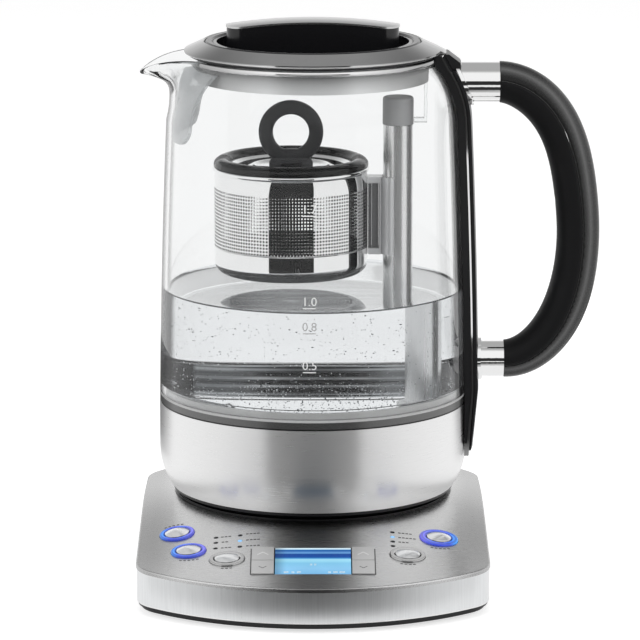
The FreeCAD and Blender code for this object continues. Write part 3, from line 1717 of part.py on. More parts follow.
def grip_line():
    """The centre line as a smooth curve that leaves both ferrules square."""
    line = Part.BSplineCurve()
    line.interpolate(Points=[point for point, half in grip_points()],
                     InitialTangent=Vector(1, 0, 0), FinalTangent=Vector(-1, 0, 0),
                     Scale=False)
    return line


def grip_frames():
    """Each station's centre, outward direction and half thickness."""
    line = grip_line()
    frames = []
    for point, half in grip_points():
        along = line.tangent(line.parameter(point))[0]
        outward = Vector(-along.z, 0, along.x)
        frames.append((point, outward, half))
    return frames


def grip_solid():
    """The whole grip, lofted through an oval at each station."""
    ovals = []
    for centre, outward, half in grip_frames():
        wide = half + d.ferrule_extra_width.value
        ellipse = Part.Ellipse(centre + Vector(0, wide, 0), centre + outward * half, centre)
        ovals.append(Part.Wire(ellipse.toShape()))
    return Part.makeLoft(ovals, True, False)


def grip_outside(shift):
    """Everything on the outer side of the parting line, moved outwards by a shift."""
    offset = d.grip_parting.value + shift
    points = [centre + outward * offset for centre, outward, half in grip_frames()]
    line = Part.BSplineCurve()
    line.interpolate(Points=points)
    far = d.grip_reach.value * 2
    first = points[0]
    last = points[-1]
    corners = [first, Vector(first.x, 0, far * 1.5), Vector(far, 0, far * 1.5),
               Vector(far, 0, 0), Vector(last.x, 0, 0), last]
    edges = [line.toShape()]
    for start, end in zip(corners, corners[1:]):
        edges.append(Part.LineSegment(start, end).toShape())
    face = Part.Face(Part.Wire(Part.__sortEdges__(edges)))
    deep = d.grip_reach.value
    return face.extrude(Vector(0, deep, 0)).translate(Vector(0, -deep / 2, 0))


def make_handle():
    """Ferrules and the two halves of the grip."""
    block = strip("ferrule_block_space", block_outline(d.fit_gap),
                  d.block_half_width + d.fit_gap)
    make_ferrule("upper_ferrule", d.upper_ferrule_half, d.upper_ferrule_height,
                 d.upper_ferrule_end, block)
    make_ferrule("lower_ferrule", d.lower_ferrule_half, d.lower_ferrule_height,
                 d.lower_ferrule_end)
    whole = shaped("grip_whole", grip_solid())
    half_gap = d.fit_gap.value / 2
    beyond = shaped("grip_beyond", grip_outside(half_gap))
    within = shaped("grip_within", grip_outside(-half_gap))
    add_node("outer_grip", common("grip_outer", whole, beyond))
    add_node("inner_grip", cut("grip_inner", whole, within))


# ---------------------------------------------------------------- lift post and drive


def make_post():
    """The tube, its cap and stay, the motor, the screw and the magnet carriage."""
    flange_low = plate_top + d.fit_gap / 2
    x = d.post_x
    inner = d.tube_radius - d.tube_wall
    tube = revolved("post_tube", [
        (inner, d.tube_bottom),
        (d.tube_radius, d.tube_bottom),
        (d.tube_radius, flange_low),
        (d.tube_flange_radius, flange_low),
        (d.tube_flange_radius, flange_low + d.tube_flange_thickness),
        (d.tube_radius, flange_low + d.tube_flange_thickness),
        (d.tube_radius, d.tube_top),
        (inner, d.tube_top),
    ])
    add_node("drive_post", place(tube, x=x))
    cap_low = d.tube_top + d.fit_gap
    cap_high = cap_low + d.cap_height
    plug = inner - d.fit_gap
    cap = revolved("post_top", [
        (0, cap_low - d.cap_plug),
        (plug, cap_low - d.cap_plug),
        (plug, cap_low),
        (d.cap_radius, cap_low),
        (d.cap_radius, cap_high - d.cap_round, d.cap_round, 1),
        (d.cap_radius - d.cap_round, cap_high),
        (0, cap_high),
    ])
    add_node("post_cap", place(cap, x=x))
    half = d.stay_width / 2
    thick = d.stay_thickness
    stay_in = x + d.cap_radius + d.fit_gap
    upright = box("stay_upright", (d.stay_x, -half, d.stay_low),
                  (d.stay_x + thick, half, d.skirt_bottom - d.fit_gap))
    foot = box("stay_foot", (stay_in, -half, d.stay_low),
               (d.stay_x + thick, half, d.stay_low + thick * 1.6))
    add_node("post_stay", fused("stay", upright, foot))
    motor_top = d.tube_bottom - d.fit_gap / 2
    motor = cut(
        "motor",
        cylinder("motor_can", d.motor_radius, d.motor_height, x, 0.0, motor_top - d.motor_height),
        cylinder("motor_socket", d.screw_shaft_radius + d.run_gap, d.screw_socket_depth,
                 x, 0.0, motor_top - d.screw_socket_depth),
    )
    add_node("lift_motor", motor)
    screw_low = motor_top - d.screw_socket_depth + d.run_gap
    screw_high = cap_low - d.cap_plug - d.run_gap
    shaft = cylinder("screw_shaft", d.screw_shaft_radius, screw_high - screw_low,
                     x, 0.0, screw_low)
    add_node("lead_screw", shaft)
    middle = (d.bracket_low + d.bracket_high) / 2
    carriage_low = middle - d.carriage_height / 2
    carriage = cut(
        "carriage",
        cylinder("carriage_block", inner - d.run_gap, d.carriage_height, x, 0.0, carriage_low),
        cylinder("carriage_nut", d.screw_shaft_radius + d.fit_gap / 2, d.carriage_height,
                 x, 0.0, carriage_low),
    )
    add_node("magnet_carriage", carriage)


# ---------------------------------------------------------------- tea basket and its lid


def make_basket():
    """The steel cup, its bracket at the post and the magnet in the bracket."""
    outer = d.basket_radius
    inner = outer - d.basket_wall
    bead = outer + d.basket_bead
    bead_low = d.basket_top - d.basket_bead_height
    low = d.basket_bottom
    turn = d.basket_round
    cup = revolved("basket", [
        (0, low),
        (outer - turn, low, turn, 1),
        (outer, low + turn),
        (outer, bead_low - d.basket_bead_height),
        (bead, bead_low),
        (bead, d.basket_top),
        (inner, d.basket_top),
        (inner, low + turn, turn - d.basket_wall, -1),
        (outer - turn, low + d.basket_wall),
        (0, low + d.basket_wall),
    ])
    add_node("basket_cup", place(cup, x=d.basket_x))
    start = d.basket_x + outer + d.fit_gap
    saddle_in = d.tube_radius + d.run_gap
    saddle_out = saddle_in + d.saddle_wall
    end = d.post_x - saddle_in
    bar = d.bracket_frame_bar
    half = d.bracket_frame_width / 2
    frame = cut(
        "bracket_frame",
        box("bracket_plate", (start, -half, d.bracket_low),
            (end - d.saddle_wall / 2, half, d.bracket_high)),
        box("bracket_window", (start + bar, -half, d.bracket_low + bar * 2),
            (end - d.saddle_wall - bar / 2, half, d.bracket_high - bar * 2)),
    )
    sector = Part.makeCylinder(d.glass_base_radius.value, d.bracket_high.value
                               - d.bracket_low.value, Vector(d.post_x.value, 0,
                                                             d.bracket_low.value),
                               Vector(0, 0, 1), d.saddle_angle.value * 2)
    sector.rotate(Vector(d.post_x.value, 0, 0), Vector(0, 0, 1), 180 - d.saddle_angle.value)
    height = d.bracket_high - d.bracket_low
    tube = cut(
        "saddle_tube",
        cylinder("saddle_outer", saddle_out, height, d.post_x, 0.0, d.bracket_low),
        cylinder("saddle_inner", saddle_in, height, d.post_x, 0.0, d.bracket_low),
    )
    saddle = common("saddle", tube, shaped("saddle_sector", sector))
    clear = cylinder("bracket_post_space", saddle_in, height, d.post_x, 0.0, d.bracket_low)
    add_node("basket_bracket", fused("bracket_solid", cut("frame_clear", frame, clear), saddle))
    gap = d.fit_gap
    magnet = box("magnet_block",
                 (start + bar + gap, -half + bar, d.bracket_low + bar * 2 + gap),
                 (end - d.saddle_wall - bar / 2 - gap, half - bar,
                  d.bracket_high - bar * 2 - gap))
    add_node("bracket_magnet", magnet)


def make_basket_lid():
    """The basket's lid: a steel dish held by a black ring with a finger loop."""
    x = d.basket_x
    low = d.basket_top + d.run_gap
    inner_wall = d.basket_radius - d.basket_wall - d.run_gap
    edge = d.basket_radius + d.fit_gap
    plug_low = d.basket_top - d.tea_lid_plug_depth
    ring_in = d.tea_lid_ring_inner
    ring = revolved("tea_lid_ring", [
        (inner_wall - d.tea_lid_plug_wall, plug_low),
        (inner_wall, plug_low),
        (inner_wall, low),
        (edge, low),
        (edge, low + d.tea_lid_edge, d.tea_lid_dome_radius, 1),
        (ring_in, low + d.tea_lid_edge + d.tea_lid_edge / 2),
        (ring_in, low),
        (inner_wall - d.tea_lid_plug_wall, low),
    ])
    place(ring, x=x)
    bridge_half = ring_in + d.tea_lid_edge
    bridge = box("loop_bridge", (x - d.loop_foot_half_width, -bridge_half, low),
                 (x + d.loop_foot_half_width, bridge_half, low + d.loop_bridge_thickness))
    loop = doc.addObject("Part::Torus", "loop_ring")
    bind(loop, "Radius1", d.loop_ring_radius)
    bind(loop, "Radius2", d.loop_bar_radius)
    loop.Placement = Placement(Vector(0, 0, 0), Rotation(Vector(1, 0, 0), 90))
    place(loop, x, 0.0, d.loop_height)
    thin = d.loop_bar_radius - d.fit_gap * 2
    foot = box("loop_foot", (x - d.loop_foot_half_width, -thin, low),
               (x + d.loop_foot_half_width, thin,
                d.loop_height - d.loop_ring_radius + d.loop_bar_radius * 0.6))
    handle = fused("tea_lid_handle", ring, bridge, foot, loop)
    add_node("basket_lid_handle", handle)
    disc_radius = ring_in + d.tea_lid_edge * 2
    disc_high = low - d.fit_gap
    dish = d.tea_lid_disc_dish
    thick = d.tea_lid_disc_thickness
    disc = revolved("tea_lid_disc", [
        (0, disc_high - dish - thick),
        (disc_radius, disc_high - thick),
        (disc_radius, disc_high),
        (0, disc_high - dish),
    ])
    add_node("basket_lid_disc", place(disc, x=x))


# ---------------------------------------------------------------- build, check and write


def build():
    """Make every sub-part."""
    make_feet()
    make_tray()
    make_base_screws()
    make_gland()
    make_band()
    make_deck()
    make_seat()
    make_base_connector()
    make_buttons()
    make_keys()
    make_display()
    make_lamps()
    make_switches()
    make_boards()
    make_housing()
    make_underside()
    make_jug_connector()
    make_heater()
    make_plate_seal()
    make_glass()
    make_filter()
    make_collar()
    make_lid()
    make_bracket()
    make_handle()
    make_post()
    make_basket()
    make_basket_lid()
    doc.recompute()


def check():
    """Stop if any object failed or any sub-part isn't a sound solid."""
    for thing in doc.Objects:
        for state in ("Invalid", "Error"):
            if state in thing.State:
                raise RuntimeError("%s is %s" % (thing.Label, state))
    for name, thing in nodes.items():
        shape = thing.Shape
        if shape.isNull() or not shape.isValid() or not shape.Solids:
            raise RuntimeError("%s has no sound solid" % name)
        if min(solid.Volume for solid in shape.Solids) <= 0:
            raise RuntimeError("%s is inside out" % name)


def write():
    """Write each sub-part to its STEP file."""
    os.makedirs("parts", exist_ok=True)
    for name, thing in nodes.items():
        thing.Shape.exportStep("parts/%s.step" % name)
    print("%d nodes written" % len(nodes))


build()
check()
write()
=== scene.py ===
"""Looks for the automatic tea maker: a glass kettle with a tea basket on a steel power base.

Metres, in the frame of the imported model: +Z up, the kettle's axis at X = Y = 0, the handle along
+X and the control panel towards -Y. Meshes are drawn in millimetres until MM is applied; places
in materials and in the stage are in metres.
"""
import random
from math import acos, atan2, copysign, cos, degrees, dist, hypot, pi, radians, sin, sqrt

import bmesh
import bpy
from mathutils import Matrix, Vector


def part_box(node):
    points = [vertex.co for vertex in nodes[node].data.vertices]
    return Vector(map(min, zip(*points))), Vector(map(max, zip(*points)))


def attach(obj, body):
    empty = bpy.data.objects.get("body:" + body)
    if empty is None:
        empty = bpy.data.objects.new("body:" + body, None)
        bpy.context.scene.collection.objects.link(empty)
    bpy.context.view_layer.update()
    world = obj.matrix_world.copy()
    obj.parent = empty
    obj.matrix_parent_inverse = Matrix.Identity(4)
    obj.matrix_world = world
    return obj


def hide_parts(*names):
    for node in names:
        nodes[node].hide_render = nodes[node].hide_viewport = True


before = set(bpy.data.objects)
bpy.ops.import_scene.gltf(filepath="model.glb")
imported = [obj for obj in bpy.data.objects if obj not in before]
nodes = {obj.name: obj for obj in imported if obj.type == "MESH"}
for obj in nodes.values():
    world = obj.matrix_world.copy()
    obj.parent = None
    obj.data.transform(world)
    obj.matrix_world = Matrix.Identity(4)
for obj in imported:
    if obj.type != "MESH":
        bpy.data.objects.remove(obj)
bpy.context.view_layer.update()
MM = 0.001
AXIS = (0.0, 0.0)
looks = {}


# ---- shader graphs


class Value:
    """A number, point or colour in a shader. What is worked out from it adds nodes."""

    def __init__(self, graph, socket):
        self.graph = graph
        self.socket = socket

    def maths(self, operation, other=0.0):
        """A Math node of this value and another value or number."""
        return self.graph.value("Math", {0: self, 1: other}, operation=operation)

    def __add__(self, other):
        return self.maths("ADD", other)

    def __sub__(self, other):
        return self.maths("SUBTRACT", other)

    def __rsub__(self, other):
        return self.graph.value("Math", {0: other, 1: self}, operation="SUBTRACT")

    def __mul__(self, other):
        return self.maths("MULTIPLY", other)

    def __abs__(self):
        return self.maths("ABSOLUTE")

    def most(self, other):
        """The larger of two values."""
        return self.maths("MAXIMUM", other)

    def stepped(self, low, high, way="SMOOTHSTEP"):
        """0 at low and 1 at high, with a smooth or LINEAR way between."""
        inputs = {"Value": self, "From Min": low, "From Max": high}
        return self.graph.value("MapRange", inputs, "Result", interpolation_type=way)

    def blended(self, low, high):
        """low where this value is 0 and high where it is 1."""
        return self.graph.value("Mix", {"Factor": self, 2: low, 3: high})

    def tinted(self, low, high):
        """A colour between two colours."""
        return self.graph.value("Mix", {"Factor": self, 6: low, 7: high}, 2, data_type="RGBA")

    def varied(self, color, contrast):
        """A colour that is darker at 0 and lighter at 1, by a share of itself."""
        return self.tinted([part * (1 - contrast) for part in color],
                           [min(part * (1 + contrast), 1.0) for part in color])

    def dimmed(self, level):
        """This colour multiplied by a level."""
        return self.graph.value("VectorMath", {0: self, "Scale": level}, operation="SCALE")

    def ramp(self, stops):
        """A ramp through stops, each a place and its grey level or colour."""
        node = self.graph.add("ValToRGB", {0: self})
        elements = node.color_ramp.elements
        while len(elements) < len(stops):
            elements.new(0.5)
        for element, (place, shade) in zip(elements, stops):
            element.position = place
            element.color = (*(shade if isinstance(shade, tuple) else [shade] * 3), 1.0)
        return Value(self.graph, node.outputs[0])


class Graph:
    """A node tree, and the rays, places and textures that its values start from."""

    def __init__(self, tree):
        self.tree = tree

    def feed(self, socket, value):
        """Link a socket to a Value or a shader node, or set its number or colour."""
        if isinstance(value, Value):
            self.tree.links.new(value.socket, socket)
        elif socket.type == "SHADER":
            self.tree.links.new(value.outputs[0], socket)
        else:
            socket.default_value = (*value, 1.0) if socket.type == "RGBA" else value

    def add(self, kind, inputs, **settings):
        """A node with its settings and its inputs, by name or number."""
        node = self.tree.nodes.new("ShaderNode" + kind)
        for name, setting in settings.items():
            setattr(node, name, setting)
        for key, value in inputs.items():
            self.feed(node.inputs[key], value)
        return node

    def value(self, kind, inputs, output=0, **settings):
        """The output of such a node."""
        return Value(self, self.add(kind, inputs, **settings).outputs[output])

    def ray(self, kind):
        """1 for rays of one kind, such as Camera or Glossy."""
        return self.value("LightPath", {}, f"Is {kind} Ray")

    def point(self):
        """The point in the row frame, which stays with the piece when it moves."""
        return self.value("TexCoord", {}, "Object")

    def parts(self):
        """The X, Y and Z of that point."""
        split = self.add("SeparateXYZ", {0: self.point()})
        return [Value(self, output) for output in split.outputs]

    def distance(self, place=(0.0, 0.0, 0.0)):
        """Distance from the point to a fixed place."""
        inputs = {0: self.point(), 1: place}
        return self.value("VectorMath", inputs, "Value", operation="DISTANCE")

    def facing(self):
        """0 where a surface faces the eye and 1 where it turns edge on."""
        return self.value("LayerWeight", {"Blend": 0.5}, "Facing")

    def noise(self, scale, detail=2.0, point=None):
        """A noise texture's value at the point."""
        inputs = {"Vector": point or self.point(), "Scale": scale, "Detail": detail}
        return self.value("TexNoise", inputs)

    def streaks(self, stretch, detail, point=None):
        """Noise with its own scale along each direction."""
        inputs = {0: point or self.point(), 1: stretch}
        return self.noise(1.0, detail, self.value("VectorMath", inputs, operation="MULTIPLY"))

    def bump(self, height, distance, strength):
        """A normal from a height."""
        return self.value("Bump", {"Height": height, "Distance": distance, "Strength": strength})

    def mixed(self, share, first, second):
        """A mix of two shaders."""
        return self.add("MixShader", {0: share, 1: first, 2: second})


class Look(Graph):
    """A material, kept in looks by its name. Given a colour, it starts as a plain shader."""

    def __init__(self, name, color=None, roughness=0.5, metallic=0.0, **extra):
        looks[name] = bpy.data.materials.new(name)
        looks[name].use_nodes = True
        super().__init__(looks[name].node_tree)
        self.tree.nodes.clear()
        self.output = self.add("OutputMaterial", {})
        if color:
            self.shader = self.principled(color, roughness, metallic, **extra)
            self.show(self.shader)

    def fed(self, shader, **inputs):
        """A shader with inputs fed by name, written with underscores for spaces."""
        for name, value in inputs.items():
            self.feed(shader.inputs[name.replace("_", " ")], value)
        return shader

    def principled(self, color, roughness, metallic=0.0, **extra):
        """A Principled shader."""
        shader = self.add("BsdfPrincipled", {})
        return self.fed(shader, Base_Color=color, Roughness=roughness, Metallic=metallic, **extra)

    def show(self, surface):
        """Make the material show this shader."""
        self.feed(self.output.inputs["Surface"], surface)

    def dress(self, **inputs):
        """Feed these inputs of its first shader."""
        self.fed(self.shader, **inputs)


# ---- mesh helpers


def added(name, data):
    """An object in the scene."""
    made = bpy.data.objects.new(name, data)
    bpy.context.scene.collection.objects.link(made)
    return made


def mesh_object(name, shape, look, smooth=False):
    """A mesh object from a shape, which is a pair of points and faces, and a look's name."""
    points, faces = shape
    mesh = bpy.data.meshes.new(name)
    mesh.from_pydata([tuple(point) for point in points], [], faces)
    mesh.materials.append(looks[look])
    if smooth:
        for face in mesh.polygons:
            face.use_smooth = True
    mesh.update()
    return added(name, mesh)


def scaled(shape):
    """A shape in metres from one in millimetres."""
    return [tuple(part * MM for part in point) for point in shape[0]], shape[1]


def weld(piece, outwards):
    """Join the doubled points of a mesh, and turn its faces outwards where asked."""
    work = bmesh.new()
    work.from_mesh(piece.data)
    bmesh.ops.remove_doubles(work, verts=work.verts, dist=1e-6)
    if outwards:
        bmesh.ops.recalc_face_normals(work, faces=work.faces)
    work.to_mesh(piece.data)
    work.free()


def skin(name, shape, look, sharp):
    """A closed smooth skin from millimetres, with edges of the sharp angle in degrees kept."""
    piece = mesh_object(name, scaled(shape), look, True)
    weld(piece, True)
    piece.data.set_sharp_from_angle(angle=radians(sharp))
    return piece


def rides(piece, body, replaced=None):
    """The piece moves with a body, and may stand for a CAD node, which it hides."""
    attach(piece, body)
    if replaced:
        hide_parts(replaced)


def flat_mark(name, shapes, look, body):
    """Thin open shapes in millimetres as one piece that rides on a body."""
    piece = mesh_object(name, scaled(joined(shapes)), look)
    weld(piece, False)
    rides(piece, body)


def joined(shapes):
    """Several shapes as one."""
    points = []
    faces = []
    for more_points, more_faces in shapes:
        shift = len(points)
        points.extend(more_points)
        faces.extend(tuple(index + shift for index in face) for face in more_faces)
    return points, faces


def grid(rows, around=False, along=False):
    """A sheet through rows of points, which may close around the rows or along each row."""
    count = len(rows[0])
    faces = []
    for row in range(len(rows) - (not around)):
        here, after = row * count, (row + 1) % len(rows) * count
        for index in range(count - (not along)):
            over = (index + 1) % count
            faces.append((here + index, after + index, after + over, here + over))
    return [point for row in rows for point in row], faces


def lathe(profile, steps, centre=AXIS, closed=True):
    """A profile of (radius, height) turned about a vertical axis."""
    rows = [[(*round_at(centre, radius, 2 * pi * step / steps), height)
             for radius, height in profile] for step in range(steps)]
    return grid(rows, True, closed)


def round_at(centre, radius, angle):
    """A point on a circle about a centre."""
    return (centre[0] + radius * cos(angle), centre[1] + radius * sin(angle))


def arc(centre, radius, start, end, count):
    """Points on an arc from one angle to another, in degrees, both ends included."""
    return [round_at(centre, radius, radians(start + (end - start) * index / count))
            for index in range(count + 1)]


def smooth_line(corners, count):
    """Evenly spaced points on a smooth curve through the corners."""
    fine = []
    last = len(corners) - 1
    for index in range(last):
        four = (corners[max(index - 1, 0)], corners[index], corners[index + 1],
                corners[min(index + 2, last)])
        for step in range(12):
            t = step / 12
            fine.append(tuple(
                0.5 * (2 * s + (e - b) * t + (2 * b - 5 * s + 4 * e - a) * t * t
                       + (3 * s - b - 3 * e + a) * t ** 3)
                for b, s, e, a in zip(*four)))
    fine.append(tuple(corners[-1]))
    lengths = [0.0]
    for first, second in zip(fine, fine[1:]):
        lengths.append(lengths[-1] + dist(first, second))
    points = []
    at = 0
    for index in range(count + 1):
        wanted = lengths[-1] * index / count
        while at < len(fine) - 2 and lengths[at + 1] < wanted:
            at += 1
        span = lengths[at + 1] - lengths[at]
        share = (wanted - lengths[at]) / span if span else 0.0
        points.append(tuple(a + (b - a) * share for a, b in zip(fine[at], fine[at + 1])))
    return points


def rounded(count, half_x, half_y, bend):
    """Points round a rounded rectangle; the smaller the bend, the tighter its corners."""
    points = []
    for step in range(count):
        angle = 2 * pi * step / count
        points.append([copysign(abs(part) ** bend, part) * half for part, half
                       in ((cos(angle), half_x), (sin(angle), half_y))])
    return points


def stacked(sections, bend=0.5, count=48):
    """A solid through rounded rectangles of (height, half width, half depth)."""
    points, faces = grid([[(x, y, height) for x, y in rounded(count, half_x, half_y, bend)]
                          for height, half_x, half_y in sections], False, True)
    faces.append(tuple(reversed(range(count))))
    faces.append(tuple(range(len(points) - count, len(points))))
    return points, faces


def mesh_from(curve):
    """The mesh of a curve or of letters."""
    drawn = bpy.data.objects.new(curve.name, curve)
    mesh = bpy.data.meshes.new_from_object(drawn)
    bpy.data.objects.remove(drawn)
    return mesh


# ---- camera, light, stage

IMAGE_PX = 640
SENSOR = 36.0
FOCAL_PX = 4180.9
CAMERA_DISTANCE = 2.0
CAMERA_HEIGHT = 0.525
CAMERA_PITCH = radians(11.489)
CAMERA_YAW = radians(0.0987)
LAMP_AIM = (0.0, 0.0, 0.12)
LAMPS = (
    # name, place, size, power
    ("lamp_left", (-1.5, -1.1, 0.9), (1.0, 1.3), 17.0),
    ("lamp_right", (1.5, -1.0, 0.9), (1.0, 1.3), 15.0),
    ("lamp_top", (0.0, 0.2, 1.8), (1.6, 1.2), 7.0),
)


def make_camera():
    """The camera of the photograph: far away, a little above the kettle."""
    data = bpy.data.cameras.new("camera")
    data.sensor_width = SENSOR
    data.lens = FOCAL_PX / IMAGE_PX * SENSOR
    data.clip_end = 20.0
    camera = added("camera", data)
    camera.location = (0.0, -CAMERA_DISTANCE, CAMERA_HEIGHT)
    camera.rotation_euler = (pi / 2 - CAMERA_PITCH, 0.0, -CAMERA_YAW)
    bpy.context.scene.camera = camera


def make_lights():
    """Large soft lamps that mirrors and glass don't show, as they show the world instead."""
    for name, place, size, power in LAMPS:
        data = bpy.data.lights.new(name, "AREA")
        data.shape = "RECTANGLE"
        data.size, data.size_y = size
        data.energy = power
        lamp = added(name, data)
        lamp.location = place
        direction = Vector(LAMP_AIM) - Vector(place)
        lamp.rotation_euler = direction.to_track_quat("-Z", "Y").to_euler()
        lamp.visible_glossy = False
        lamp.visible_transmission = False


WHITE = (1.0, 1.0, 1.0)
CEILING_TOWARDS = (0.0, 0.42, 0.906)
CEILING_EDGES = (0.62, 0.86)
CEILING_GREY = 0.44
WORLD_LIGHT = 0.45


def make_world():
    """A white surrounding with a greyer ceiling towards the back, which mirrors show.

    It lights the object at a plainer level than it shows.
    """
    world = bpy.data.worlds.new("world")
    world.use_nodes = True
    graph = Graph(world.node_tree)
    inputs = {0: graph.value("TexCoord", {}, "Generated"), 1: CEILING_TOWARDS}
    towards = graph.value("VectorMath", inputs, "Value", operation="DOT_PRODUCT")
    ceiling = towards.stepped(*CEILING_EDGES).blended(1.0, CEILING_GREY)
    shown = (1.0 - graph.ray("Camera")).blended(1.0, ceiling)
    seen = graph.ray("Camera") + graph.ray("Glossy") + graph.ray("Transmission")
    background = graph.tree.nodes["Background"]
    graph.feed(background.inputs["Color"], WHITE)
    graph.feed(background.inputs["Strength"],
               seen.maths("MINIMUM", 1.0).blended(WORLD_LIGHT, shown))
    bpy.context.scene.world = world


FLOOR_GREY = (0.62, 0.62, 0.62)
FLOOR_GLOW = 0.66
FLOOR_MIRRORED = 0.93
FLOOR_HALF = 9.0


def make_floor():
    """A white floor that keeps the soft shadow of the object and is plain white in mirrors."""
    look = Look("floor_white")
    through = look.ray("Transmission")
    glow = look.add("Emission", {"Strength": look.ray("Camera") * FLOOR_GLOW})
    both = look.add("AddShader", {0: look.add("BsdfDiffuse", {"Color": FLOOR_GREY}), 1: glow})
    plain = look.add("Emission", {"Strength": through.blended(FLOOR_MIRRORED, 1.0)})
    look.show(look.mixed(look.ray("Glossy").most(through), both, plain))
    rows = [[(x * FLOOR_HALF, y * FLOOR_HALF, 0.0) for y in (-1, 1)] for x in (-1, 1)]
    floor = mesh_object("floor", grid(rows), "floor_white")


CARD_HEIGHT = 0.002
CARD_NEAR = 0.165
CARD_MIDDLE = 0.56
FAR_CARD_HEIGHT = 0.0015
FAR_CARD_NEAR = 0.2
FAR_CARD_FAR = 1.9
FAR_CARD_TOP = 0.72
FAR_CARD_HALF_ANGLE = 33.0
CARD_GREY = 0.03
LOW_EDGES = (0.25, 0.29)
LOW_STOPS = (
    # angle from the front in degrees, level that the base's steel band mirrors
    (0, 0.09), (10, 0.16), (18, 0.25), (25, 0.43), (33, 0.60), (46, 0.76), (62, 0.90), (100, 1.0),
)
HIGH_STOPS = (
    # the same for the kettle's steel housing, with a narrow dark streak near each side
    (0, 0.03), (31, 0.03), (34, 0.42), (42, 0.55), (49, 0.64), (66, 0.80), (86, 0.93), (105, 0.98),
    (119, 0.98), (128, 0.42), (140, 0.14), (158, 0.10), (164, 0.45), (172, 0.85),
)
INSIDE_DEPTHS = (3.5, 5.5)
OUTSIDE_REACH = 1.27


def near_level(look):
    """Levels by the angle from the front, for the base's band and for the kettle's housing."""
    across, along, _ = look.parts()
    share = abs(across.maths("ARCTAN2", along * -1.0)).maths("DIVIDE", pi)
    low, high = (share.ramp([(angle / 180, level) for angle, level in stops])
                 for stops in (LOW_STOPS, HIGH_STOPS))
    return look.distance().stepped(*LOW_EDGES).blended(low, high)


def far_level(look):
    """White, but dark far out, and dark where it is seen through the walls of the glass."""
    depth = look.value("LightPath", {}, "Transmission Depth")
    low, high = INSIDE_DEPTHS
    inside = depth.maths("GREATER_THAN", low) * depth.maths("LESS_THAN", high)
    far_out = look.distance().maths("GREATER_THAN", OUTSIDE_REACH)
    outside = depth.maths("LESS_THAN", 0.5) * far_out
    return inside.most(outside).blended(FLOOR_MIRRORED, CARD_GREY)


def card_object(name, rings, sweep, steps, level_of):
    """A card of rows of points about the kettle's axis that only reflections show."""
    look = Look(name)
    look.show(look.add("Emission", {"Color": WHITE, "Strength": level_of(look)}))
    angles = [radians(sweep * (2 * step / steps - 1)) for step in range(steps + 1)]
    rows = [[(reach * sin(angle), -reach * cos(angle), height) for angle in angles]
            for reach, height in rings]
    card = mesh_object(name, grid(rows), name)
    for kind in ("camera", "diffuse", "volume_scatter", "shadow"):
        setattr(card, "visible_" + kind, False)
    return card


def make_cards():
    """Studio cards along the table and standing in front, which give steel its dark streaks."""
    rings = ((CARD_NEAR, CARD_HEIGHT), (CARD_MIDDLE, CARD_HEIGHT))
    near = card_object("card_near", rings, 180.0, 90, near_level)
    near.visible_transmission = False
    rings = ((FAR_CARD_NEAR, FAR_CARD_HEIGHT), (FAR_CARD_FAR, FAR_CARD_HEIGHT),
             (FAR_CARD_FAR, FAR_CARD_TOP))
    card_object("card_far", rings, FAR_CARD_HALF_ANGLE, 12, far_level)


# ---- materials

FINE_DEPTH = 0.00002


def brushed(name, grey, roughness, streak, contrast=0.04, tint=WHITE, metallic=1.0, shade=None,
            upright=0.0):
    """Brushed steel. streak gives how often the fine lines vary along each direction.

    shade(look) may give a level of painted shade or painted reflection that dims the colour.
    upright above 0 lays the lines round the axis and draws the reflections out along Z, as
    brushing round the axis does.
    """
    base = [grey * part for part in tint]
    look = Look(name, base, roughness, metallic)
    point = None
    if upright:
        across, along, height = look.parts()
        point = look.value("CombineXYZ", {"X": along.maths("ARCTAN2", across), "Z": height})
        around = look.value("Tangent", {}, direction_type="RADIAL", axis="Z")
        look.dress(Anisotropic=upright, Anisotropic_Rotation=0.25, Tangent=around)
    lines = look.streaks(streak, 3.0, point)
    color = lines.varied(base, contrast)
    if shade:
        color = color.dimmed(shade(look))
    rough = lines.blended(roughness * 0.82, roughness * 1.18)
    clouds = look.noise(22.0).blended(-0.015, 0.015)
    look.dress(Base_Color=color, Roughness=rough + clouds,
               Normal=look.bump(lines, FINE_DEPTH, 0.22))


def polished(name, grey, roughness, tint=WHITE):
    """Chrome or polished metal with faint handling marks."""
    look = Look(name, [grey * part for part in tint], roughness, 1.0)
    marks = look.noise(90.0, 4.0)
    look.dress(Roughness=marks.blended(roughness * 0.6, roughness * 1.5))


def moulded(name, color, roughness, grain=1800.0, depth=FINE_DEPTH, **extra):
    """Moulded plastic or rubber with a fine grain in its colour, roughness and normal."""
    look = Look(name, color, roughness, **extra)
    texture = look.noise(grain, 3.0)
    look.dress(Base_Color=texture.varied(color, 0.15),
               Roughness=texture.blended(roughness * 0.9, roughness * 1.1),
               Normal=look.bump(texture, depth, 0.5))
    return look


def misty(name, color, share, roughness=0.4):
    """Thin translucent plastic: part of the light goes straight through it."""
    look = moulded(name, color, roughness, 900.0, 0.00001)
    passing = look.add("BsdfTransparent", {"Color": (0.93, 0.94, 0.94)})
    look.show(look.mixed(look.facing() * 0.35 + share, passing, look.shader))


GLASS_SHINE = 0.35
LAMP_SHARE = 0.95
GRAZING = (0.45, 0.78)
WATER_PAINTED_EDGE_STOPS = ((0.0, 0.0), (0.232, 0.0), (0.250, 0.85), (1.0, 0.9))
PAINTED_EDGE_STOPS = (
    # how far a surface turns from the eye, share that its painted dark edge takes; for water above
    (0.0, 0.0), (0.76, 0.0), (0.83, 0.55), (0.88, 0.90), (0.94, 0.85), (0.97, 0.40), (1.0, 0.10),
)


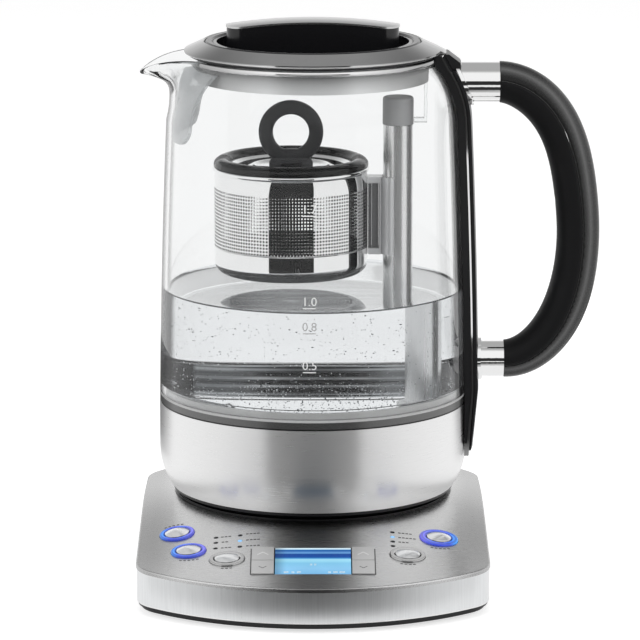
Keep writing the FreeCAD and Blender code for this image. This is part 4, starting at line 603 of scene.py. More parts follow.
def clear(name, tint, ior, roughness=0.0, edges=None, painted_edge_grey=0.10, mirror=0.0):
    """Glass, clear plastic or water that lets the lamps through.

    edges may give how far a painted dark edge covers it where it turns edge on, which stands
    in for the dark that glass and water show there, and mirror how much it mirrors there.
    """
    look = Look(name, tint, roughness, IOR=ior, Transmission_Weight=1.0,
                Specular_Tint=[GLASS_SHINE] * 3)
    low = [part * 0.985 for part in tint]
    look.dress(Base_Color=look.noise(30.0, 1.0).tinted(low, tint))
    facing = look.facing()
    body = look.shader
    if edges:
        # Painted shade: a dark shader mixed in where the surface turns edge on.
        dark = look.principled((painted_edge_grey, painted_edge_grey, painted_edge_grey * 1.03), 0.2)
        body = look.mixed(facing.ramp(edges), body, dark)
    if mirror:
        shine = look.principled((0.94, 0.95, 0.96), 0.03, 1.0)
        body = look.mixed(facing.stepped(*GRAZING) * mirror, body, shine)
    passing = look.add("BsdfTransparent", {"Color": [part * LAMP_SHARE for part in tint]})
    look.show(look.mixed(look.ray("Shadow").most(look.ray("Diffuse")), body, passing))


def reach_of(across, along):
    """Distance from the kettle's axis."""
    return (across * across + along * along).maths("SQRT")


def deck_painted_shade(look):
    """Painted shade and reflection: the deck is darker in its middle, where the kettle stands over it
    and mirrors in it, and at its sides.
    """
    across = abs(look.parts()[0])
    middle = across.stepped(0.003, 0.036).blended(0.30, 1.0)
    return middle * across.stepped(0.060, 0.078).blended(1.0, 0.66)


def plate_painted_reflection(look):
    """Painted reflection: light and dark streaks over the heater plate, which fade at its sides and
    front.
    """
    across, along, _ = look.parts()
    streaks = look.streaks((2.5, 150.0, 0.0), 3.0).stepped(0.40, 0.60).blended(0.10, 0.95)
    sides = abs(across).stepped(0.024, 0.056)
    front = along.stepped(-0.034, -0.050)
    return (sides * 0.65).most(front).blended(streaks, 0.46)


SEAL_BORE = (0.0702, 0.0698)
SEAL_PALE_FROM = 0.0038
SEAL_LINE_TO = 0.00055


def seal_finish():
    """The ring under the glass: grey below with a dark line, pale above, and inside painted
    reflections in streaks, with painted shade in the middle and painted light at its sides.
    """
    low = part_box("plate_seal")[0].z
    look = Look("seal_ring", (0.20, 0.20, 0.205), 0.34)
    across, along, height = look.parts()
    inside = reach_of(across, along).stepped(*SEAL_BORE)
    # Painted reflection: light and dark streaks inside the ring, with painted shade in the middle and
    # painted light at its sides.
    ribs = look.streaks((3.0, 3.0, 480.0), 1.0).stepped(0.42, 0.58)
    middle = abs(across).stepped(0.014, 0.004) * 0.5
    sides = abs(across).stepped(0.0115, 0.0225)
    painted_streak_reflections = (ribs.blended(0.03, 1.0) * (1.0 - middle)).most(sides * ribs.blended(0.4, 1.0))
    upper = height.stepped(low + SEAL_PALE_FROM - 0.0002, low + SEAL_PALE_FROM + 0.0002)
    line = height.stepped(low + SEAL_LINE_TO + 0.00015, low + SEAL_LINE_TO - 0.00015)
    grain = look.noise(1500.0, 3.0)
    outer = upper.blended(line.blended(0.17, 0.03), 0.50) * grain.blended(0.9, 1.1)
    shining = inside.blended(upper.blended(0.9, 0.1), sides.blended(0.5, 0.0))
    look.dress(Base_Color=inside.tinted(outer, painted_streak_reflections), Metallic=shining,
               Roughness=inside.blended(0.24, 0.16) + grain.blended(-0.03, 0.03))


SKIRT_REACH = (0.0571, 0.0568)
SKIRT_TOP = (0.2500, 0.2496)
SKIRT_HEIGHTS = (0.2365, 0.2495)
SKIRT_SHADE_STOPS = ((0.0, 0.95), (0.18, 0.85), (0.45, 0.62), (0.75, 0.36), (1.0, 0.04))
SLOPE_FROM = (0.2511, 0.2517)
LINE_FROM = (0.2499, 0.2502)


def collar_finish():
    """The neck collar: chrome with a line, painted shade on its slope and towards its two sides,
    and a satin skirt in the glass with painted shade that deepens downwards.
    """
    look = Look("chrome_collar", (0.46, 0.46, 0.46), 0.10, 1.0)
    across, along, height = look.parts()
    skirt = reach_of(across, along).stepped(*SKIRT_REACH) * height.stepped(*SKIRT_TOP)
    # Painted shade down the skirt, pale at its top and dark at its foot.
    level = height.stepped(*SKIRT_HEIGHTS, "LINEAR").ramp(SKIRT_SHADE_STOPS)
    marks = look.noise(120.0, 3.0)
    # Painted shade: the collar is darker towards its two sides and on its upward slope.
    ends = abs(across).stepped(0.018, 0.054)
    slope = height.stepped(*SLOPE_FROM)
    line = height.stepped(*LINE_FROM) * (1.0 - slope)
    color = skirt.tinted(slope.blended(0.86, 0.50) * marks.blended(0.94, 1.04), level)
    look.dress(Metallic=1.0 - (skirt * 0.5).most(line * 0.6),
               Base_Color=color.dimmed(ends.blended(1.0, 0.46)),
               Roughness=skirt.blended(0.09, 0.42) + marks.blended(-0.02, 0.02))


def button_finish():
    """Polished buttons with a painted dark reflection where they face the eye, bright where they turn
    from it.
    """
    look = Look("button_silver", (0.88, 0.89, 0.9), 0.15, 0.6)
    marks = look.noise(200.0, 3.0)
    color = marks.tinted((0.84, 0.85, 0.86), (0.90, 0.91, 0.92))
    # Painted reflection: the colour is dimmed where the dome faces the eye.
    look.dress(Base_Color=color.dimmed(look.facing().stepped(0.14, 0.26).blended(0.10, 1.0)),
               Roughness=marks.blended(0.10, 0.20))


BRACKET_WINDOW = (0.0322, 0.1550, 0.1870)


def bracket_finish():
    """The tea basket's bracket: a bright steel frame round a dark grey window."""
    look = Look("steel_bracket", (0.82, 0.82, 0.83), 0.2, 0.7)
    across, _, height = look.parts()
    side, low, high = BRACKET_WINDOW
    window = (across.stepped(side + 0.0002, side - 0.0002)
              * height.stepped(low - 0.0005, low + 0.0005)
              * height.stepped(high + 0.0005, high - 0.0005))
    marks = look.noise(150.0, 3.0)
    bright = marks.tinted((0.74, 0.74, 0.75), (0.88, 0.88, 0.89))
    look.dress(Base_Color=window.tinted(bright, (0.13, 0.13, 0.135)),
               Metallic=window.blended(0.2, 0.0), Roughness=marks.blended(0.16, 0.26))


# how far the surface turns from the eye, level of the black with its painted highlight
PAINTED_HIGHLIGHT_STOPS = (
    (0.0, 0.006), (0.06, 0.008), (0.14, 0.045), (0.24, 0.12), (0.38, 0.045), (0.55, 0.01),
    (1.0, 0.006),
)


def grip_finish():
    """The handle's outer shell: soft black rubber with a painted highlight beside its middle."""
    look = Look("grip_black", (0.006, 0.006, 0.0065), 0.27, Specular_IOR_Level=0.24)
    grain = look.noise(2400.0, 3.0)
    look.dress(Base_Color=look.facing().ramp(PAINTED_HIGHLIGHT_STOPS) * grain.blended(0.85, 1.15),
               Roughness=grain.blended(0.24, 0.30),
               Normal=look.bump(grain, FINE_DEPTH, 0.5))


RING_STOPS = (
    # share of the way from the ring's inner to its outer edge, level of the glow with a painted
    # highlight near the inner edge and painted shade at the rim
    (0.0, 0.25), (0.14, 0.25), (0.22, 1.0), (0.34, 1.0), (0.46, 0.32), (0.62, 0.50),
    (0.78, 0.85), (0.90, 0.22), (1.0, 0.12),
)
RING_PLACES = ((-0.0647, -0.0680), (-0.0586, -0.0910), (0.0597, -0.0752))
RING_REACH = 0.0106
RING_EDGES = (0.0060, 0.0100)


def lit_rings():
    """Blue light rings, cyan towards the left and violet at the front right, with a painted
    highlight near each ring's inner edge and painted shade at its rim.
    """
    look = Look("light_blue", (0.05, 0.08, 0.45), 0.16)
    across, along, _ = look.parts()
    sideways = frontways = edges = 0.0
    for x, y in RING_PLACES:
        dx = across - x
        dy = along - y
        square = dx * dx + dy * dy
        near = square.maths("LESS_THAN", RING_REACH ** 2)
        ring = square.maths("SQRT").stepped(*RING_EDGES, "LINEAR").ramp(RING_STOPS)
        sideways = near * dx * (-1.0 if x > 0 else 1.0) + sideways
        frontways = near * dy + frontways
        edges = near * ring + edges
    patches = look.noise(300.0).stepped(0.35, 0.68)
    color = patches.tinted((0.02, 0.05, 0.62), (0.06, 0.20, 0.85))
    color = sideways.stepped(-0.0035, -0.0088).tinted(color, (0.03, 0.42, 0.95))
    color = sideways.stepped(0.0020, 0.0085).tinted(color, (0.20, 0.15, 0.72))
    color = (frontways.stepped(-0.0050, -0.0085) * 0.75).tinted(color, (0.015, 0.02, 0.42))
    look.dress(Emission_Color=color.dimmed(edges),
               Emission_Strength=look.ray("Glossy").blended(0.75, 0.08))


LIT_LAMPS = ((-0.0345, -0.0835), (0.0377, -0.0788))
LAMP_EDGE = (0.0024, 0.0016)


def lamp_finish():
    """Small dark lamps, of which those at the lit places glow light blue."""
    look = Look("lamp_dark", (0.02, 0.02, 0.024), 0.18)
    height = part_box("panel_lamps")[1].z - MM
    first, second = (look.distance((x, y, height)).stepped(*LAMP_EDGE) for x, y in LIT_LAMPS)
    glow = first.most(second).tinted((0.0, 0.0, 0.0), (0.30, 0.62, 1.0))
    look.dress(Emission_Color=glow, Emission_Strength=1.0,
               Roughness=look.noise(900.0).blended(0.12, 0.25))


DISPLAY_STOPS = (
    # share of the way from the front edge to the back edge, colour
    (0.00, (0.18, 0.48, 0.80)), (0.05, (0.22, 0.55, 0.88)), (0.22, (0.28, 0.62, 0.92)),
    (0.42, (0.24, 0.60, 0.86)), (0.50, (0.34, 0.74, 0.93)), (0.56, (0.38, 0.76, 0.95)),
    (0.60, (0.05, 0.30, 0.66)), (0.64, (0.005, 0.06, 0.34)), (0.76, (0.005, 0.05, 0.30)),
    (0.78, (0.10, 0.28, 0.62)), (0.84, (0.14, 0.34, 0.70)), (0.86, (0.01, 0.10, 0.40)),
    (0.915, (0.01, 0.12, 0.42)), (0.935, (0.50, 0.80, 0.95)), (0.96, (0.80, 0.95, 1.00)),
)


def display_finish():
    """The lit display: a pale blue field, a dark blue strip and a bright back edge."""
    look = Look("display_blue", (0.01, 0.03, 0.06), 0.12, Specular_IOR_Level=0.10)
    low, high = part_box("display_window")
    across, along, _ = look.parts()
    color = along.stepped(low.y, high.y, "LINEAR").ramp(DISPLAY_STOPS)
    side = across.stepped(low.x, low.x + 6 * MM).blended(0.55, 1.0)
    cloud = look.noise(70.0, 1.0).blended(0.85, 1.12)
    look.dress(Emission_Color=color.dimmed(side * cloud),
               Emission_Strength=look.ray("Glossy").blended(0.92, 0.06))


LOOP_DEPTH = (0.0065, 0.0060)
LOOP_FROM = (0.1945, 0.1950)


def loop_finish():
    """The tea basket's lid: a glossy black ring that carries a satin dark grey loop."""
    look = Look("plastic_gloss_black", (0.012, 0.012, 0.013), 0.1, Specular_IOR_Level=0.3)
    _, along, height = look.parts()
    loop = height.stepped(*LOOP_FROM) * abs(along).stepped(*LOOP_DEPTH)
    grain = look.noise(1500.0, 3.0)
    look.dress(Base_Color=loop.tinted((0.006, 0.006, 0.006), (0.045, 0.045, 0.047)),
               Roughness=loop.blended(0.10, 0.42) + grain.blended(-0.03, 0.03),
               Normal=look.bump(grain * loop, FINE_DEPTH, 0.5))


def printed(name, color, roughness=0.4):
    """Ink with a very fine grain."""
    moulded(name, color, roughness, 3000.0, 0.000005)


WATER_TINT = (0.93, 0.945, 0.955)
WATER_IOR = 1.333


def make_materials():
    """Make every material. Each puts itself in looks under its name."""
    brushed("steel_housing", 0.86, 0.29, (6.0, 0.0, 3200.0), 0.05, upright=0.8)
    brushed("steel_deck", 0.74, 0.28, (24.0, 2200.0, 2200.0), 0.05, shade=deck_painted_shade)
    brushed("steel_band", 0.84, 0.30, (1500.0, 1500.0, 60.0), 0.10, (0.985, 1.0, 1.01))
    brushed("steel_plate", 0.62, 0.25, (40.0, 2200.0, 2200.0))
    brushed("steel_tube", 0.84, 0.28, (900.0, 900.0, 12.0), metallic=0.75)
    brushed("steel_heater", 0.86, 0.26, (300.0, 300.0, 300.0), metallic=0.35, shade=plate_painted_reflection)
    brushed("key_silver", 0.62, 0.30, (60.0, 2000.0, 2000.0), 0.03, metallic=0.55)
    polished("steel_polished", 0.86, 0.05)
    polished("steel_basket", 0.88, 0.03)
    # painted shade: a darker copy of the basket's steel for its inside, floor and foot
    polished("steel_basket_shaded", 0.34, 0.22)
    polished("chrome", 0.88, 0.035)
    polished("bezel_steel", 0.55, 0.12)
    polished("brass", 0.80, 0.2, (1.0, 0.78, 0.38))
    polished("metal_plain", 0.6, 0.35)
    moulded("rim_black", (0.010, 0.010, 0.011), 0.22, 900.0, 0.00001, Specular_IOR_Level=0.35)
    moulded("plastic_black", (0.008, 0.008, 0.009), 0.30, Specular_IOR_Level=0.35)
    moulded("plastic_bowl_black", (0.008, 0.008, 0.009), 0.16, 900.0, 0.00001)
    moulded("grip_inner_black", (0.009, 0.009, 0.0095), 0.45, 2400.0, 0.00004, Specular_IOR_Level=0.12)
    moulded("rubber_black", (0.012, 0.012, 0.013), 0.55)
    moulded("plastic_grey", (0.40, 0.40, 0.405), 0.45)
    moulded("magnet_grey", (0.19, 0.19, 0.195), 0.35)
    moulded("board_green", (0.03, 0.14, 0.06), 0.5)
    # Bubbles are painted: white for their glint and dark grey for their shade.
    moulded("bubble", (0.92, 0.93, 0.94), 0.15)
    moulded("bubble_shade", (0.22, 0.23, 0.24), 0.1)
    misty("plastic_smoke", (0.60, 0.61, 0.62), 0.34)
    clear("glass_jug", (0.965, 0.970, 0.971), 1.47, 0.0, PAINTED_EDGE_STOPS, 0.06)
    clear("plastic_clear", (0.93, 0.94, 0.94), 1.45, 0.04, PAINTED_EDGE_STOPS)
    clear("water", WATER_TINT, WATER_IOR)
    clear("water_top", WATER_TINT, WATER_IOR, mirror=0.5)
    clear("water_side", (0.88, 0.892, 0.905), WATER_IOR, 0.0, WATER_PAINTED_EDGE_STOPS, 0.045)
    printed("print_lit", (0.75, 0.88, 0.95), 0.3)
    printed("print_white", (0.80, 0.80, 0.80))
    printed("print_grey", (0.42, 0.42, 0.42))
    printed("print_dark", (0.05, 0.05, 0.052))
    for finish in (collar_finish, seal_finish, loop_finish, grip_finish, button_finish,
                   bracket_finish, lit_rings, display_finish, lamp_finish):
        finish()


NODE_LOOKS = {
    "steel_housing": "housing_shell",
    "steel_deck": "base_deck",
    "steel_band": "base_band",
    "steel_plate": "lid_handle_plate",
    "steel_polished": "lid_skirt heating_element temperature_sensor basket_lid_disc lead_screw "
                      "base_screws magnet_carriage",
    "steel_bracket": "basket_bracket",
    "rim_black": "lid_rim",
    "steel_basket": "basket_cup",
    "chrome": "bracket_trim upper_ferrule lower_ferrule",
    "bezel_steel": "button_bezels",
    "chrome_collar": "neck_collar",
    "steel_tube": "drive_post",
    "steel_heater": "heater_plate",
    "plastic_black": "base_tray base_seat base_connector cord_gland tact_switches display_module "
                     "jug_underside jug_connector handle_bracket bracket_cover",
    "plastic_bowl_black": "lid_bowl lid_handle_bar",
    "magnet_grey": "bracket_magnet",
    "plastic_gloss_black": "basket_lid_handle",
    "grip_black": "outer_grip",
    "grip_inner_black": "inner_grip",
    "seal_ring": "plate_seal",
    "rubber_black": "base_feet neck_seal",
    "glass_jug": "glass_jug",
    "plastic_clear": "post_stay",
    "plastic_smoke": "spout_filter",
    "plastic_grey": "post_cap",
    "light_blue": "button_light_rings",
    "button_silver": "auto_start_button keep_warm_button tea_button strength_button hot_water_button",
    "key_silver": "temperature_up_key temperature_down_key time_up_key time_down_key",
    "display_blue": "display_window",
    "lamp_dark": "panel_lamps",
    "brass": "connector_contacts",
    "board_green": "control_board power_board",
    "metal_plain": "lift_motor",
}


def dress_nodes():
    """Give every CAD node its material."""
    for look, names in NODE_LOOKS.items():
        for name in names.split():
            mesh = nodes[name].data
            mesh.materials.clear()
            mesh.materials.append(looks[look])


# ---- glass jug and water

GLASS_LOW = 85.2
GLASS_LOW_RADIUS = 74.8
SHOULDER_LOW = 218.0
SHOULDER_LOW_RADIUS = 70.9
SIDE_BULGE = 0.55
SHOULDER_CENTRE = (24.95, 215.9)
SHOULDER_CURVE = 46.0
NECK_RADIUS = 59.4
GLASS_TOP = 249.2
WALL = 2.8
SPOUT_SPREAD = (
    # angle from the spout's middle in degrees, how far the glass is drawn out there
    (0.0, 1.0), (2.0, 0.978), (5.8, 0.83), (11.6, 0.62), (20.0, 0.27), (26.0, 0.06), (31.0, 0.0),
)
SPOUT_UNDER = ((70.9, 218.0), (69.7, 224.0), (69.3, 229.0), (69.5, 233.0), (70.9, 235.7),
               (74.0, 237.6), (78.6, 239.0), (82.6, 239.8))
SPOUT_NOSE = ((83.3, 240.2), (83.5, 240.9), (82.9, 241.8), (81.8, 242.2))
SPOUT_OVER = ((80.4, 241.9), (77.6, 241.2), (73.4, 239.6), (69.6, 237.8), (67.2, 234.8),
              (66.5, 231.0), (66.8, 225.0), (68.1, 218.0))
SPOUT_FALL = 2.7
SPOUT_TURN = 180.0
FINE_SPAN = 38.0


def side_radius(height):
    """Radius of the outside of the glass below its shoulder, in millimetres."""
    share = (height - GLASS_LOW) / (SHOULDER_LOW - GLASS_LOW)
    straight = GLASS_LOW_RADIUS + (SHOULDER_LOW_RADIUS - GLASS_LOW_RADIUS) * share
    return straight + 4 * SIDE_BULGE * share * (1 - share)


def spout_share(off):
    """How far the glass is drawn out into the spout, by the angle from its middle."""
    for (start, high), (end, low) in zip(SPOUT_SPREAD, SPOUT_SPREAD[1:]):
        if off <= end:
            t = (off - start) / (end - start)
            if start == 0.0:
                t = t * t
            if low == 0.0:
                t = 1 - (1 - t) ** 2
            return high + (low - high) * t
    return 0.0


def glass_sections():
    """The plain section of the glass and the section through the spout, point for point."""
    rise = [GLASS_LOW + (SHOULDER_LOW - GLASS_LOW) * index / 22 for index in range(22)]
    outer_side = [(side_radius(height), height) for height in rise]
    inner_side = [(side_radius(height) - WALL, height) for height in reversed(rise)]
    middle, foot = SHOULDER_CENTRE
    low = degrees(atan2(SHOULDER_LOW - foot, SHOULDER_LOW_RADIUS - middle))
    high = degrees(acos((NECK_RADIUS - middle) / SHOULDER_CURVE))
    inner_curve = SHOULDER_CURVE - WALL
    inner_high = degrees(acos((NECK_RADIUS - WALL - middle) / inner_curve))
    steps = 20
    outer_shoulder = arc(SHOULDER_CENTRE, SHOULDER_CURVE, low, high, steps)
    inner_shoulder = arc(SHOULDER_CENTRE, inner_curve, inner_high, low, steps)
    lip_centre = (NECK_RADIUS - WALL / 2, GLASS_TOP - WALL / 2)
    lip = [(NECK_RADIUS, outer_shoulder[-1][1] + 0.7), *arc(lip_centre, WALL / 2, 0.0, 180.0, 10),
           (NECK_RADIUS - WALL, inner_shoulder[0][1] + 1.0)]
    under = smooth_line(SPOUT_UNDER, steps)
    over = smooth_line(SPOUT_OVER, steps)
    nose = smooth_line((under[-1], *SPOUT_NOSE, over[0]), 14)[1:-1]
    return (outer_side + outer_shoulder + lip + inner_shoulder + inner_side,
            outer_side + under + nose + over + inner_side)


def make_glass():
    """The glass jug with its drawn spout, as one smooth closed surface."""
    plain, drawn = glass_sections()
    rows = []
    turn = 0.0
    while turn < 360.0 - 1e-6:
        off = abs(turn - SPOUT_TURN)
        share = spout_share(off)
        fall = share ** SPOUT_FALL
        rows.append([(*round_at(AXIS, radius + (far - radius) * share, radians(turn)),
                      height + (down - height) * fall)
                     for (radius, height), (far, down) in zip(plain, drawn)])
        turn += 1.0 if off < FINE_SPAN or turn > 360.0 - FINE_SPAN else 2.0
    glass = skin("glass_wall", grid(rows, True, True), "glass_jug", 50)
    rides(glass, "jug", "glass_jug")


WATER_LEVEL = 135.5
WATER_FOOT = ((67.4, 0.0), (67.4, 8.4), (68.4, 9.2))
MENISCUS = (
    # how far in from the glass, height over the water's level
    (0.0, 1.2), (0.35, 0.75), (0.8, 0.42), (1.5, 0.16), (2.6, 0.0), (12.0, 0.0),
)


def make_water():
    """The water in the jug, just under the 0.9 litre level, with its curved edge."""
    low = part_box("heater_plate")[1].z / MM + 0.05
    side = low + 9.4
    heights = [side + (WATER_LEVEL - side) * index / 10 for index in range(11)]
    wall = [(side_radius(height) - WALL + 0.03, height) for height in heights]
    profile = [(0.0, low), *((radius, low + up) for radius, up in WATER_FOOT), *wall,
               *((wall[-1][0] - inwards, WATER_LEVEL + up) for inwards, up in MENISCUS),
               (0.0, WATER_LEVEL)]
    water = skin("water", lathe(profile, 180, closed=False), "water", 40)
    for look in ("water_side", "water_top"):
        water.data.materials.append(looks[look])
    for face in water.data.polygons:
        if abs(face.normal.z) < 0.3:
            face.material_index = 1
        elif face.normal.z > 0:
            face.material_index = 2
    rides(water, "jug")


BUBBLE_COUNT = 3600
BUBBLE_SIZES = (0.12, 0.15, 0.19, 0.24, 0.3)
BUBBLE_DEPTH = 42.0
BUBBLE_FLOOR_REACH = 64.0
SHADED_BUBBLES = 0.36
SIDE_BUBBLES = 0.40


def make_bubbles():
    """Small bubbles on the glass under the water and on the heater plate: white ones with a
    painted glint and dark ones with painted shade.
    """
    rng = random.Random(17)
    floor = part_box("heater_plate")[1].z / MM
    work = bmesh.new()
    bmesh.ops.create_icosphere(work, subdivisions=2, radius=1.0)
    ball = [vertex.co.copy() for vertex in work.verts]
    ball_faces = [[vertex.index for vertex in face.verts] for face in work.faces]
    work.free()
    sets = {"bubble": [], "bubble_shade": []}
    for number in range(BUBBLE_COUNT):
        size = rng.choice(BUBBLE_SIZES)
        if number % 4 == 0:
            reach = BUBBLE_FLOOR_REACH * sqrt(rng.random())
            angle = rng.uniform(0, 2 * pi)
            height = floor + size + rng.choice((0.0, 0.0, 2.0, 5.0)) * rng.random()
        else:
            height = WATER_LEVEL - 1.5 - BUBBLE_DEPTH * rng.random() ** 0.9
            reach = side_radius(height) - WALL - size * 1.1
            angle = rng.uniform(0, 2 * pi)
            if rng.random() < SIDE_BUBBLES:
                angle = rng.choice((0.0, pi)) + rng.gauss(0.0, 0.30)
        place = Vector((*round_at(AXIS, reach, angle), height))
        kind = "bubble_shade" if rng.random() < SHADED_BUBBLES else "bubble"
        sets[kind].append(([place + corner * size for corner in ball], ball_faces))
    for name, bubbles in sets.items():
        piece = mesh_object(name + "s", scaled(joined(bubbles)), name, True)
        rides(piece, "jug")


# ---- tea basket

BASKET_CENTRE = (-10.6, 0.0)
BASKET_RADIUS = 37.2
BASKET_WALL = 0.8
BASKET_LOW = 143.0
BASKET_TOP = 195.2
BASKET_ROUND = 6.0
BASKET_BEAD = 1.0
HOLE_LOW = 156.4
HOLE_HIGH = 185.6
HOLE_ROWS = 18
HOLE_COLUMNS = 152
HOLE_SHARE = 0.20
FLOOR_RING = 1.75
FLOOR_RINGS = 15
FLOOR_MIDDLE = 4.0


def holed_tile(at, u, wide, v, high):
    """One tile of a sheet between two skins, with a square hole through it.

    at(u, v, skin_side) places a point; skin side 0 is outside and 1 inside.
    """
    points = [at(u + wide * a, v + high * b, skin_side)
              for near in (0.0, HOLE_SHARE) for skin_side in (0, 1)
              for a, b in ((near, near), (1 - near, near), (1 - near, 1 - near), (near, 1 - near))]
    faces = []
    for index in range(4):
        after = (index + 1) % 4
        faces += [(index, after, 8 + after, 8 + index),
                  (4 + after, 4 + index, 12 + index, 12 + after),
                  (8 + index, 8 + after, 12 + after, 12 + index)]
    return points, faces


def wall_at(u, v, skin_side):
    """A point of the basket's wall by its angle and height."""
    return (*round_at(BASKET_CENTRE, BASKET_RADIUS - BASKET_WALL * skin_side, u), v)


def floor_at(u, v, skin_side):
    """A point of the basket's floor by its angle and radius."""
    return (*round_at(BASKET_CENTRE, v, u), BASKET_LOW + BASKET_WALL * skin_side)


def basket_rings():
    """Profiles of the basket's plain parts: its middle, its rounded foot and its beaded rim."""
    out, low, top = BASKET_RADIUS, BASKET_LOW, BASKET_TOP
    inside = out - BASKET_WALL
    floor_top = low + BASKET_WALL
    edge = FLOOR_MIDDLE + FLOOR_RINGS * FLOOR_RING
    curve = (out - BASKET_ROUND, low + BASKET_ROUND)
    middle = [(0.0, low), (FLOOR_MIDDLE, low), (FLOOR_MIDDLE, floor_top), (0.0, floor_top)]
    foot = [(edge, floor_top), (edge, low), *arc(curve, BASKET_ROUND, -90.0, 0.0, 8),
            (out, curve[1] + 0.4), (out, HOLE_LOW - 0.4), (out, HOLE_LOW), (inside, HOLE_LOW),
            *arc(curve, BASKET_ROUND - BASKET_WALL, 0.0, -90.0, 8)]
    rim = [(inside, HOLE_HIGH), (out, HOLE_HIGH), (out, top - 2.6), (out + 0.25, top - 2.2),
           *arc((out, top - BASKET_BEAD), BASKET_BEAD, -60.0, 120.0, 10), (inside, top - 0.4)]
    return middle, foot, rim


def make_basket():
    """The perforated steel tea basket, with painted shade inside it, on its floor and round its foot.
    """
    turn = 2 * pi / HOLE_COLUMNS
    rise = (HOLE_HIGH - HOLE_LOW) / HOLE_ROWS
    shapes = [holed_tile(wall_at, column * turn, turn, HOLE_LOW + row * rise, rise)
              for column in range(HOLE_COLUMNS) for row in range(HOLE_ROWS)]
    for ring in range(FLOOR_RINGS):
        low = FLOOR_MIDDLE + ring * FLOOR_RING
        cells = int(2 * pi * (low + FLOOR_RING / 2) / FLOOR_RING)
        step = 2 * pi / cells
        shapes += [holed_tile(floor_at, cell * step, step, low, FLOOR_RING)
                   for cell in range(cells)]
    shapes += [lathe(profile, HOLE_COLUMNS, BASKET_CENTRE) for profile in basket_rings()]
    basket = skin("basket_wall", joined(shapes), "steel_basket", 32)
    basket.data.materials.append(looks["steel_basket_shaded"])
    # Painted shade: the inner faces, the floor and the rounded foot take a darker copy of the steel.
    inner = (BASKET_RADIUS - 0.9 * BASKET_WALL) * MM
    for face in basket.data.polygons:
        reach = hypot(face.center.x - BASKET_CENTRE[0] * MM, face.center.y)
        low = face.center.z < (BASKET_LOW + BASKET_ROUND * 0.8) * MM
        if low or reach < inner and abs(face.normal.z) < 0.5:
            face.material_index = 1
    rides(basket, "tea_basket", "basket_cup")


LID_RING = (
    # radius and height round the black ring, from its plug over its dome to its inner wall
    (34.3, 191.2), (36.0, 191.2), (36.0, 195.5), (37.4, 195.55), (37.5, 196.1), (37.3, 197.2),
    (36.6, 198.1), (35.4, 199.0), (33.9, 199.5), (32.3, 199.4), (30.9, 198.7), (29.9, 197.8),
    (29.5, 196.6), (29.4, 194.6), (31.0, 193.6), (34.3, 193.6),
)
LID_DISH = (
    # radius and height of the steel dish, out along its top and back under it
    (0.0, 194.6), (9.0, 194.7), (17.0, 194.9), (18.0, 195.6), (20.5, 195.7), (21.5, 195.0),
    (27.0, 195.3), (28.4, 196.2), (30.0, 196.4), (30.0, 195.8), (27.0, 194.6), (9.0, 194.1),
    (0.0, 194.0),
)
LOOP_RADIUS = 12.2
LOOP_HEIGHT = 211.4
LOOP_SECTION = (3.5, 2.9)
LOOP_BEND = 0.72
LOOP_FOOT = (
    # height, half width and half depth of the foot under the loop
    (194.0, 10.6, 4.0), (196.8, 10.6, 4.0), (197.6, 10.2, 3.4), (199.2, 9.2, 2.9),
    (200.8, 8.6, 2.7), (202.4, 8.3, 2.6), (203.2, 6.0, 2.2),
)
BRIDGE = (
    # the same for the bridge that carries the foot across the dish
    (194.6, 5.0, 30.0), (196.6, 5.0, 30.0), (197.0, 4.6, 30.0),
)
BRIDGE_BEND = 1 / 7


def make_basket_lid():
    """The tea basket's lid: a domed black ring with a finger loop, and a steel dish inside."""
    section = [(LOOP_RADIUS + x, y) for x, y in rounded(24, *LOOP_SECTION, LOOP_BEND)]
    turned, faces = lathe(section, 96)
    loop = [(x, z, y + LOOP_HEIGHT) for x, y, z in turned], faces
    points, faces = joined([lathe(LID_RING, 128), loop, stacked(LOOP_FOOT),
                            stacked(BRIDGE, BRIDGE_BEND)])
    ring = skin("tea_lid_ring", ([(x + BASKET_CENTRE[0], y, z) for x, y, z in points], faces),
                "plastic_gloss_black", 50)
    rides(ring, "tea_basket_lid", "basket_lid_handle")
    dish = skin("tea_lid_dish", lathe(LID_DISH, 128, BASKET_CENTRE, False), "steel_polished", 60)
    rides(dish, "tea_basket_lid", "basket_lid_disc")


# ---- marks

DECK_CURVE = 390.0
DECK_MIDDLE = (168.37, 411.07)
MARK_LIFT = 0.04
GROOVE_LIFT = 0.03
QUAD = (0, 1, 2, 3)
WORD_DASHES = (
    # rows of short dashes in place of words: start x, y, number of dashes
    (-43.6, -77.7, 3), (-43.2, -83.5, 2), (-43.4, -90.0, 3),
    (-31.8, -76.8, 4), (-31.6, -83.2, 4), (-31.6, -89.6, 4),
    (40.4, -73.8, 4), (40.4, -78.8, 5), (40.4, -83.8, 3),
)
BUTTON_DASHES = (
    # dashes along the edge of a button: button x, y, radius, middle angle, number
    (-64.7, -68.0, 11.4, 100.0, 5), (-58.6, -91.0, 11.4, -88.0, 5),
    (-40.3, -104.0, 11.0, -90.0, 3), (44.4, -98.6, 11.0, -90.0, 4),
    (59.7, -75.2, 12.2, -88.0, 5),
)
DASH = 1.25
DASH_STEP = 1.75
DASH_WIDTH = 0.95


def deck_height(x, y):
    """Height of the dished deck at a place, in millimetres."""
    reach = hypot(x, y)
    return DECK_MIDDLE[1] - sqrt(DECK_CURVE ** 2 - (reach - DECK_MIDDLE[0]) ** 2)


def deck_strip(start, end, width=DASH_WIDTH, lift=MARK_LIFT):
    """A thin flat mark on the deck from one place to another."""
    length = dist(start, end)
    half = width / 2 / length
    side = ((start[1] - end[1]) * half, (end[0] - start[0]) * half)
    pieces = max(1, int(length / 2.0))
    rows = []
    for index in range(pieces + 1):
        x, y = (a + (b - a) * index / pieces for a, b in zip(start, end))
        places = [(x + sign * side[0], y + sign * side[1]) for sign in (-1, 1)]
        rows.append([(*place, deck_height(*place) + lift) for place in places])
    return grid(rows)


